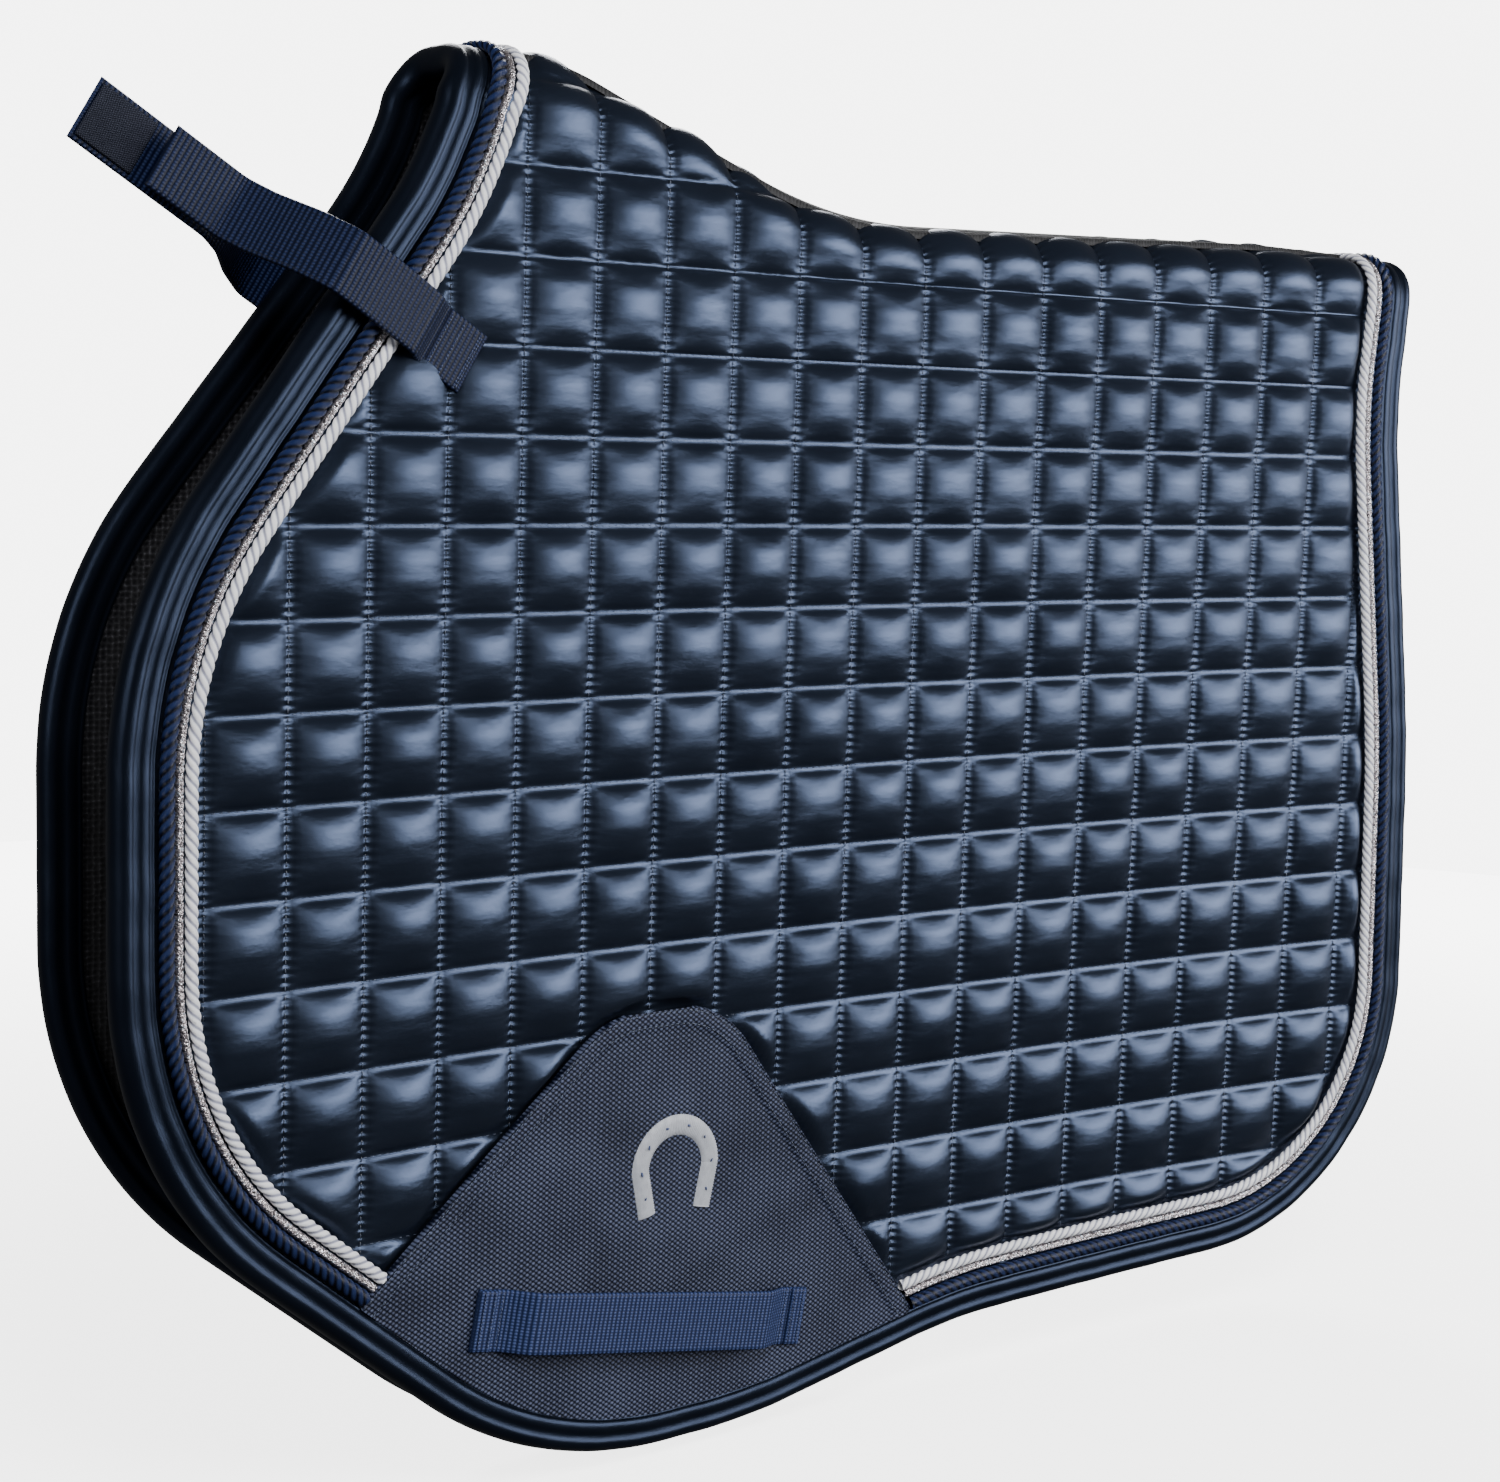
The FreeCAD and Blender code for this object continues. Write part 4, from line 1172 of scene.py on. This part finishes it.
@dataclass
class GirthPatch(FlapPart):
    """Woven nylon wear patch with a turned hem, and its embroidered horseshoe."""

    front_in: float = 82.0
    front_up: float = 72.0
    top_up: float = 193.0
    top_front_in: float = 225.0
    top_rear_in: float = 284.0
    rear_in: float = 408.0
    rear_up: float = 23.0
    round_top: float = 48.0
    below: float = 30.0
    lift: float = 0.5
    hem: float = 9.5
    hem_rise: float = 0.9
    binding_inner: float = 15.2
    motif_in: float = 261.0
    motif_up: float = 123.0
    motif_size: float = 46.0
    motif_band: float = 9.0
    stitch_pitch: float = 2.9
    row_step: float = 2.0
    search_columns: int = 900
    columns: int = 170
    tuck_depth: float = 1.2
    clear: float = 0.9

    def ring(self) -> np.ndarray:
        """Side-view outline, which runs out below the flap."""
        front, bottom = -self.skin.shape.front_reach, -self.skin.shape.drop
        return rounded_line([
            (front + self.front_in - self.below - self.front_up, bottom - self.below, 0),
            (front + self.front_in, bottom + self.front_up, 0),
            (front + self.top_front_in, bottom + self.top_up, self.round_top),
            (front + self.top_rear_in, bottom + self.top_up, self.round_top),
            (front + self.rear_in, bottom + self.rear_up, 0),
            (front + self.rear_in + 0.7 * (self.below + self.rear_up), bottom - self.below, 0),
        ], True, 3.0)

    def cloth(self) -> bpy.types.Object:
        """The patch itself, meshed in rows between its upper line and the binding."""
        ring = self.ring()
        bottom = -self.skin.shape.drop
        xs = np.linspace(ring[:, 0].min(), ring[:, 0].max(), self.search_columns)
        zs = np.arange(bottom, bottom + self.top_up, self.row_step)
        rows = []
        for z in zs:
            line = np.stack([xs, np.full_like(xs, z)], axis=1)
            in_flap = inside_distance(line, self.skin.ring) - self.binding_inner
            room = np.minimum(inside_distance(line, ring), in_flap)
            shown = np.nonzero(room > 0)[0]
            if len(shown) > 2:
                first, last = shown[0], shown[-1]
                rows.append((z, np.interp(0, room[first - 1:first + 1], xs[first - 1:first + 1]),
                             np.interp(0, -room[last:last + 2], xs[last:last + 2])))
        z, left, right = np.array(rows).T
        share = np.linspace(0, 1, self.columns)
        share = 0.5 - 0.5 * np.cos(np.pi * share) * (0.35 + 0.65 * np.abs(np.cos(np.pi * share)) ** 0.5)
        share = (share - share[0]) / (share[-1] - share[0])
        x = left[:, None] * (1 - share) + share * right[:, None]
        z = np.broadcast_to(z[:, None], x.shape)
        room = inside_distance(np.stack([x.ravel(), z.ravel()], axis=1), ring).reshape(x.shape)
        step = smoothstep((self.hem - room) / 1.6) * self.hem_rise
        seams = np.exp(-((room - 1.8) / 0.6) ** 2) + np.exp(-((room - self.hem + 2.0) / 0.6) ** 2)
        tuck = smoothstep((room + 0.2) / 0.8)
        lift = -self.tuck_depth + (self.tuck_depth + self.lift + step - 0.35 * seams) * tuck
        points = self.skin.flap_point(x, z) + self.skin.flap_outward(x) * (lift + self.clear)[..., None]
        writer = MeshWriter()
        writer.grid(points, np.stack([x, z], axis=-1), flip=self.right)
        return self.piece(writer, "wear_patch", "patch", "nylon_patch", "girth_patch")

    def hem_stitches(self) -> bpy.types.Object:
        """Two rows of stitching along the hem."""
        writer = MeshWriter()
        for inset in (1.9, self.hem - 2.0):
            ring = self.ring()
            along = unit(np.gradient(ring, axis=0))
            inner = ring + np.stack([along[:, 1], -along[:, 0]], axis=1) * inset
            lengths = lengths_along(inner)
            line = read_along(np.arange(2, lengths[-1], self.stitch_pitch), lengths, inner)
            room = inside_distance(line, self.skin.ring) - self.binding_inner
            line = line[(room > 1) & (np.abs(inside_distance(line, ring) - inset) < 0.5)]
            x, z = line.T
            here = self.skin.flap_point(x, z)
            tangent = unit(np.gradient(here, axis=0))
            outward = self.skin.flap_outward(x)
            writer.beads(here + outward * (self.clear + self.lift + self.hem_rise - 0.15), tangent, outward,
                         (2.2, 0.5, 0.6))
        return self.piece(writer, "patch_stitches", "thread", "nylon_patch", "girth_patch")

    def motif(self) -> tuple[bpy.types.Object, bpy.types.Object]:
        """A horseshoe in satin stitch: rows of thread laid across its arm."""
        front, bottom = -self.skin.shape.front_reach, -self.skin.shape.drop
        centre = np.array([front + self.motif_in, bottom + self.motif_up])
        radius = (self.motif_size - self.motif_band) / 2
        leg = self.motif_size * 0.42
        bow = np.linspace(math.pi, 0, 110)
        arch = np.stack([radius * np.cos(bow), radius * np.sin(bow)], axis=1)
        drop = np.linspace(0, 1, 36)[1:, None]
        heel = np.array([[radius * 0.78, -leg]])
        right_leg = arch[-1] * (1 - drop) + heel * drop
        left_leg = (right_leg * [-1, 1])[::-1]
        spine = np.concatenate([left_leg, arch, right_leg])
        along = unit(np.gradient(spine, axis=0))
        across = np.stack([-along[:, 1], along[:, 0]], axis=1)
        share = np.linspace(-1, 1, 9)
        flat = centre + spine[:, None] + across[:, None] * share[None, :, None] * self.motif_band / 2
        crown = 0.2 + 1.1 * np.sqrt(np.clip(1 - share ** 2, 0, 1)) + 0.16 * np.where(
            np.arange(len(spine))[:, None] % 2, 1, -1)
        x, z = flat[..., 0], flat[..., 1]
        points = self.skin.flap_point(x, z) + self.skin.flap_outward(x) * (crown + 1.2)[..., None]
        writer = MeshWriter()
        writer.grid(points, flat, flip=self.right)
        return self.piece(writer, "embroidered_horseshoe", "silver_thread", "silver_thread",
                          "horseshoe_motif"), self.nails(points)

    def nails(self, shoe: np.ndarray) -> bpy.types.Object:
        """Dark knots for the nail holes, spaced along the embroidered arm."""
        middle = shoe.shape[1] // 2
        picks = np.linspace(0.08, 0.92, 8) * (len(shoe) - 1)
        centres = shoe[picks.astype(int), middle]
        along = unit(shoe[picks.astype(int) + 1, middle] - centres)
        outward = np.tile([0.0, self.skin.side.value, 0.0], (len(centres), 1))
        writer = MeshWriter()
        writer.beads(centres, along, outward, (3.0, 1.5, 0.8))
        return self.piece(writer, "horseshoe_nails", "navy_thread", "silver_thread", "horseshoe_motif")

    def build(self) -> list[bpy.types.Object]:
        """Makes the patch, its stitching and its motif."""
        return [self.cloth(), self.hem_stitches(), *self.motif()]


def strip_path(line: np.ndarray, origin: np.ndarray, along: np.ndarray, across: np.ndarray,
               outward: np.ndarray, step: float = 1.2) -> Path:
    """A webbing strip's middle line.

    Args:
        line: (n, 2) array of distance along and offset outwards.
        origin: where the strip starts.
        along: unit vector of its length.
        across: unit vector of its width.
        outward: unit vector away from the horse.
        step: spacing of the points.

    Returns:
        A path whose inward direction is the strip's width.
    """
    lengths = np.r_[0, np.cumsum(np.hypot(*np.diff(line, axis=0).T))]
    at = np.linspace(0, lengths[-1], max(8, int(lengths[-1] / step)))
    smooth = read_along(at, lengths, line)
    for _ in range(6):
        smooth[1:-1] = (smooth[:-2] + 2 * smooth[1:-1] + smooth[2:]) / 4
    points = origin + smooth[:, :1] * along + smooth[:, 1:] * outward
    normal = np.cross(across, unit(np.gradient(points, axis=0)))
    normal *= np.sign((normal @ outward))[:, None] + (np.abs(normal @ outward) < 1e-6)[:, None]
    return Path(points, np.broadcast_to(across, points.shape).copy(), unit(normal))


def webbing_profile(width: float, thickness: float, ribs: int = 13) -> np.ndarray:
    """Section of ribbed webbing with rounded selvedges."""
    half = width / 2
    across = np.linspace(-half + 0.6, half - 0.6, ribs * 2 + 1)
    bulge = np.where(np.arange(len(across)) % 2, 0.12, -0.05)
    upper = np.stack([across, thickness + bulge], axis=1)
    lower = np.stack([across, -bulge], axis=1)[::-1]
    return np.concatenate([[[-half, thickness * 0.5]], upper, [[half, thickness * 0.5]], lower])


def tack_rows(writer: MeshWriter, path: Path, at: Sequence[float], width: float, height: float) -> None:
    """Rows of stitches across a strip at the given distances along it."""
    lengths = path.length_at()
    offsets = np.arange(-width / 2 + 2, width / 2 - 1.5, 1.5)
    for place in at:
        i = int(np.argmin(np.abs(lengths - place)))
        centres = path.points[i] + offsets[:, None] * path.inward[i] + path.outward[i] * height
        count = len(offsets)
        writer.beads(centres, np.repeat(path.inward[i:i + 1], count, 0),
                     np.repeat(path.outward[i:i + 1], count, 0), (1.3, 0.6, 0.8))


def capped_strip(writer: MeshWriter, path: Path, width: float, thickness: float) -> None:
    """A strip of webbing, closed at both ends by drawing its last sections together."""
    profile = webbing_profile(width, thickness)
    middle = np.array([0.0, thickness / 2])
    closing = (profile - middle) * CAP_SCALE + middle
    first = path.points[0] - (path.points[1] - path.points[0]) * CAP_REACH
    last = path.points[-1] + (path.points[-1] - path.points[-2]) * CAP_REACH
    points = np.concatenate([first[None], path.points, last[None]])
    inward, outward = (np.concatenate([part[:1], part, part[-1:]]) for part in (path.inward, path.outward))
    shape = np.stack([closing] + [profile] * len(path.points) + [closing])
    placed = points[:, None] + inward[:, None] * shape[..., :1] + outward[:, None] * shape[..., 1:]
    flats = np.stack(np.broadcast_arrays(lengths_along(points)[:, None], profile[None, :, 0]), axis=-1)
    writer.grid(placed, flats, loop=True)


@dataclass
class GirthLoop(FlapPart):
    """Webbing sewn down at both ends over the patch, standing off it between them."""

    length: float = 176.0
    width: float = 26.0
    thickness: float = 2.0
    rise: float = 6.6
    tack: float = 14.0
    climb: float = 12.0
    tilt: float = 10.0
    middle_in: float = 246.0
    middle_up: float = 60.0
    stand: float = 1.9

    def build(self) -> list[bpy.types.Object]:
        """Makes the webbing, its folded tabs and its stitching."""
        shape, side = self.skin.shape, self.skin.side
        half, lean = self.length / 2, math.radians(self.tilt)
        x = self.middle_in - shape.front_reach
        ends = x + np.array([-1, 1]) * half * math.cos(lean)
        level = shape.half_width_at(ends) + self.stand
        yaw = math.atan2(float(level[1] - level[0]), float(ends[1] - ends[0]))
        seat = min(float(level.mean()), float(shape.half_width_at(np.array(x))) + self.stand)
        along = unit(np.array([math.cos(lean) * math.cos(yaw), side.value * math.sin(yaw), -math.sin(lean)]))
        outward = np.array([0.0, side.value, 0.0])
        outward = unit(outward - along * (outward @ along))
        across = np.cross(along, outward)
        line = np.array([(-half, 0), (-half + self.tack, 0), (-half + self.tack + self.climb, self.rise),
                         (half - self.tack - self.climb, self.rise), (half - self.tack, 0), (half, 0)])
        origin = np.array([x, side.value * seat, self.middle_up - shape.drop])
        path = strip_path(line, origin, along, across, outward)
        writer = MeshWriter()
        capped_strip(writer, path, self.width, self.thickness)
        for start, stop in ((-half + 0.4, -half + 8.5), (half - 8.5, half - 0.4)):
            tab = strip_path(np.array([(start, self.thickness * 0.86), (stop, self.thickness * 0.86)]),
                             origin, along, across, outward, 1.0)
            capped_strip(writer, tab, self.width - 0.6, 1.1)
        webbing = self.piece(writer, "girth_webbing", "loop", "loop_webbing", "girth_loop")
        tacks = MeshWriter()
        total = path.length_at()[-1]
        tack_rows(tacks, path, (2.2, 6.8, total - 6.8, total - 2.2), self.width, self.thickness + 1.15)
        tack_rows(tacks, path, (11.5, total - 11.5), self.width, self.thickness + 0.1)
        return [webbing, self.piece(tacks, "girth_tacking", "navy_thread", "loop_webbing", "girth_loop")]


@dataclass
class BilletStrap(FlapPart):
    """The front strap: a box-stitched sewn end and a free length that wraps round the saddle's billet."""

    slope: float = 31.0
    anchor: float = 20.0
    width: float = 26.0
    thickness: float = 2.0
    seat: float = 0.9
    start_x: float = -262.0
    start_z: float = -58.0
    over: float = 5.46
    step: float = 8.0
    bend_at: float = 50.0
    meet_at: float = 84.0
    centre_gap: float = 3.4
    tape_length: float = 24.0
    tape_inset: float = 1.5

    def strap_length(self) -> float:
        """Hinge to the strap's end; the right strap shows more of its length."""
        return 146.0 if self.right else 116.0

    def build(self) -> list[bpy.types.Object]:
        """Makes the sewn end, the free strap and its tape."""
        shape, side = self.skin.shape, self.skin.side
        lean = math.radians(self.slope)
        run = -math.cos(lean)
        start_w, end_w = (float(shape.half_width_at(np.array(x))) + self.seat
                          for x in (self.start_x, self.start_x + run * self.anchor))
        drift = (end_w - start_w) / self.anchor
        along = unit(np.array([run, side.value * drift, math.sin(lean)]))
        outward = np.array([0.0, side.value, 0.0])
        across = unit(np.cross(along, outward))
        upright = np.cross(across, along)
        upright *= np.sign(upright @ outward)
        start = np.array([self.start_x, side.value * start_w, self.start_z])
        sewn = strip_path(np.array([(0, 0), (self.anchor, 0)]), start, along, across, upright, 1.0)
        writer = MeshWriter()
        capped_strip(writer, sewn, self.width, self.thickness)
        made = [self.piece(writer, "sewn_end", "strap", "strap_webbing", "billet_anchor")]
        tacks = MeshWriter()
        tack_rows(tacks, sewn, (2.0, 3.6, 12.0, self.anchor - 1.6), self.width, self.thickness + 0.1)
        made.append(self.piece(tacks, "box_stitching", "navy_thread", "strap_webbing", "billet_anchor"))
        hinge = start + along * self.anchor
        length = self.strap_length()
        middle = abs(hinge[1])
        sink = self.centre_gap - middle
        towards = drift / math.hypot(1.0, drift)
        fall = sink - towards * self.meet_at - self.over
        end = sink - towards * length
        bridge = self.meet_at - self.bend_at
        line = np.array([(0.6, 0), (self.step * 0.3, 0), (self.step, self.over),
                         (self.bend_at * 0.72, self.over + 1.2), (self.bend_at, self.over + 0.6),
                         (self.bend_at + bridge * 0.35, self.over + fall * 0.3),
                         (self.bend_at + bridge * 0.7, self.over + fall * 0.78),
                         (self.meet_at, self.over + fall), (length, end)])
        free = strip_path(line, hinge, along, across, upright)
        strap = MeshWriter()
        capped_strip(strap, free, self.width, self.thickness)
        made.append(self.piece(strap, "free_strap", "strap", "strap_webbing", "billet_strap"))
        back = self.tape_length + self.tape_inset
        tape_line = np.array([(length - self.tape_length - self.tape_inset, end + towards * back - 1.05),
                              (length - self.tape_inset, end - 1.05)])
        tape = MeshWriter()
        capped_strip(tape, strip_path(tape_line, hinge, along, across, upright, 1.0), self.width - 4, 1.0)
        made.append(self.piece(tape, "hook_tape", "tape", "hook_tape", "billet_tape"))
        return made


@dataclass
class SpineStrip(FlapPart):
    """Mesh strip over the spine, with a stitched line along each side."""

    width: float = 27.0
    lift: float = 2.2
    edge_room: float = 16.0

    def build(self) -> bpy.types.Object:
        """Makes the strip across both halves."""
        ring = self.skin.ring
        xs = np.linspace(-self.skin.shape.crest_front_x, self.skin.shape.crest_rear_x + 4, 260)
        room = inside_distance(np.stack([xs, self.skin.top(xs) - 1], axis=1), ring)
        xs = xs[room > self.edge_room]
        share = np.linspace(-1, 1, 25)
        half = self.width / 2
        x = np.broadcast_to(xs[:, None], (len(xs), len(share)))
        distance = np.abs(share)[None] * half
        roll = self.skin.roll_end(x) - distance
        hem = 0.35 * (np.exp(-((np.abs(share) - 0.8) / 0.06) ** 2))[None]
        tuck = 2.6 * smoothstep((np.abs(share) - 0.93) / 0.07)[None]
        base = self.skin.place(x, roll, 0.0)
        points = base + self.skin.outward(x, roll) * (self.lift - hem - tuck)[..., None]
        sign = np.sign(share)[None] * np.ones_like(x)
        points[..., 1] = np.abs(points[..., 1]) * sign
        points[:, share == 0, 1] = 0.0
        writer = MeshWriter()
        writer.grid(points, np.stack(np.broadcast_arrays(x, (share * half)[None]), axis=-1))
        piece = writer.write("spine_air_mesh_strip", self.finishes["spine"])
        return dress(piece, "spine_mesh", "spine_strip")


@dataclass(frozen=True)
class Lamp:
    """A wide soft light that faces a point; places are metres, power is watts."""

    name: str
    place: tuple[float, float, float]
    power: float
    size: tuple[float, float]
    aim: tuple[float, float, float] = (0.0, 0.0, -0.2)
    gleams: bool = True

    def build(self) -> None:
        """Makes the lamp."""
        light = bpy.data.lights.new(self.name, "AREA")
        light.energy, light.shape = self.power, "RECTANGLE"
        light.size, light.size_y = self.size
        holder = bpy.data.objects.new(self.name, light)
        bpy.context.scene.collection.objects.link(holder)
        direction = Matrix.Translation(self.aim).translation - Matrix.Translation(self.place).translation
        holder.location = self.place
        holder.rotation_euler = direction.to_track_quat("-Z", "Y").to_euler()
        holder.visible_glossy = self.gleams


LAMPS = (Lamp("key", (-0.7, -1.5, 1.35), 52.0, (0.8, 0.8), gleams=False),
         Lamp("sheen", (1.25, -1.45, 0.02), 54.0, (1.7, 0.85)),
         Lamp("front", (-1.7, -0.5, 0.3), 7.0, (0.5, 0.5), aim=(-0.3, 0.0, -0.2)),
         Lamp("back", (0.8, 1.5, 1.0), 30.0, (1.0, 0.6)))


@dataclass
class Studio:
    """Pale floor, soft lights and the camera at the viewing angle."""

    camera_place: tuple[float, float, float] = (-0.8096, -0.9237, -0.0786)
    yaw: float = -37.52
    pitch: float = -6.65
    roll: float = -1.71
    lens: float = 64.6
    floor_height: float = -0.520
    floor_reach: float = 1700.0
    ambient: float = 0.10
    backdrop: float = 6.0

    def build(self) -> None:
        """Makes the whole studio."""
        camera = bpy.data.cameras.new("view")
        camera.lens, camera.sensor_width = self.lens, 36.0
        holder = bpy.data.objects.new("view", camera)
        bpy.context.scene.collection.objects.link(holder)
        turn = Matrix.Identity(4)
        for degrees, axis in ((self.yaw, "Z"), (self.pitch, "X"), (self.roll, "Y")):
            turn = turn @ Matrix.Rotation(math.radians(degrees), 4, axis)
        stand = Euler((math.pi / 2, 0, 0)).to_matrix().to_4x4()
        holder.matrix_world = Matrix.Translation(self.camera_place) @ turn @ stand
        bpy.context.scene.camera = holder
        writer = MeshWriter()
        turn_round, reach = np.linspace(0, 2 * math.pi, 97), np.linspace(0, self.floor_reach, 12)
        x, y = reach[:, None] * np.cos(turn_round)[None], reach[:, None] * np.sin(turn_round)[None]
        z = np.full_like(x, self.floor_height / MM)
        writer.grid(np.stack([x, y, z], axis=-1), np.stack([x, y], axis=-1))
        ground = writer.write("studio_floor", PlainGroundFinish().build())
        ground.visible_glossy = ground.visible_diffuse = False
        world = bpy.data.worlds.new("studio")
        world.use_nodes = True
        tree = world.node_tree
        background = tree.nodes["Background"]
        background.inputs["Color"].default_value = (1, 1, 1, 1)
        seen = tree.nodes.new("ShaderNodeLightPath")
        strength = tree.nodes.new("ShaderNodeMapRange")
        strength.inputs["To Min"].default_value = self.ambient
        strength.inputs["To Max"].default_value = self.backdrop
        tree.links.new(seen.outputs["Is Camera Ray"], strength.inputs["Value"])
        tree.links.new(strength.outputs["Result"], background.inputs["Strength"])
        bpy.context.scene.world = world
        for lamp in LAMPS:
            lamp.build()


def main() -> None:
    """Builds the studio and every sub-assembly in order."""
    logging.basicConfig(level=logging.INFO, format="%(message)s")
    shape, finishes = PadShape(), Finishes()
    Studio().build()
    for side in Side:
        skin, hinging = Skin(shape, side), Hinging(side)
        path = edge_path(skin)
        patch = GirthPatch(skin, finishes)
        crossing = QuiltedPanel(skin, finishes, patch.ring()).build()
        crossing.append(EdgeBinding(skin, finishes).build(path))
        crossing.extend(TrimCords(skin, finishes, patch.ring()).build(path))
        for piece in crossing:
            hinging.turn(piece)
        for piece in patch.build() + GirthLoop(skin, finishes).build():
            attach(piece, side.word + "_flap")
        for piece in BilletStrap(skin, finishes).build():
            sewn = "sewn_end" in piece.name or "box_stitching" in piece.name
            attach(piece, side.word + ("_flap" if sewn else "_strap"))
    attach(SpineStrip(Skin(shape, Side.LEFT), finishes).build(), "crest")


if __name__ == "__main__":
    main()
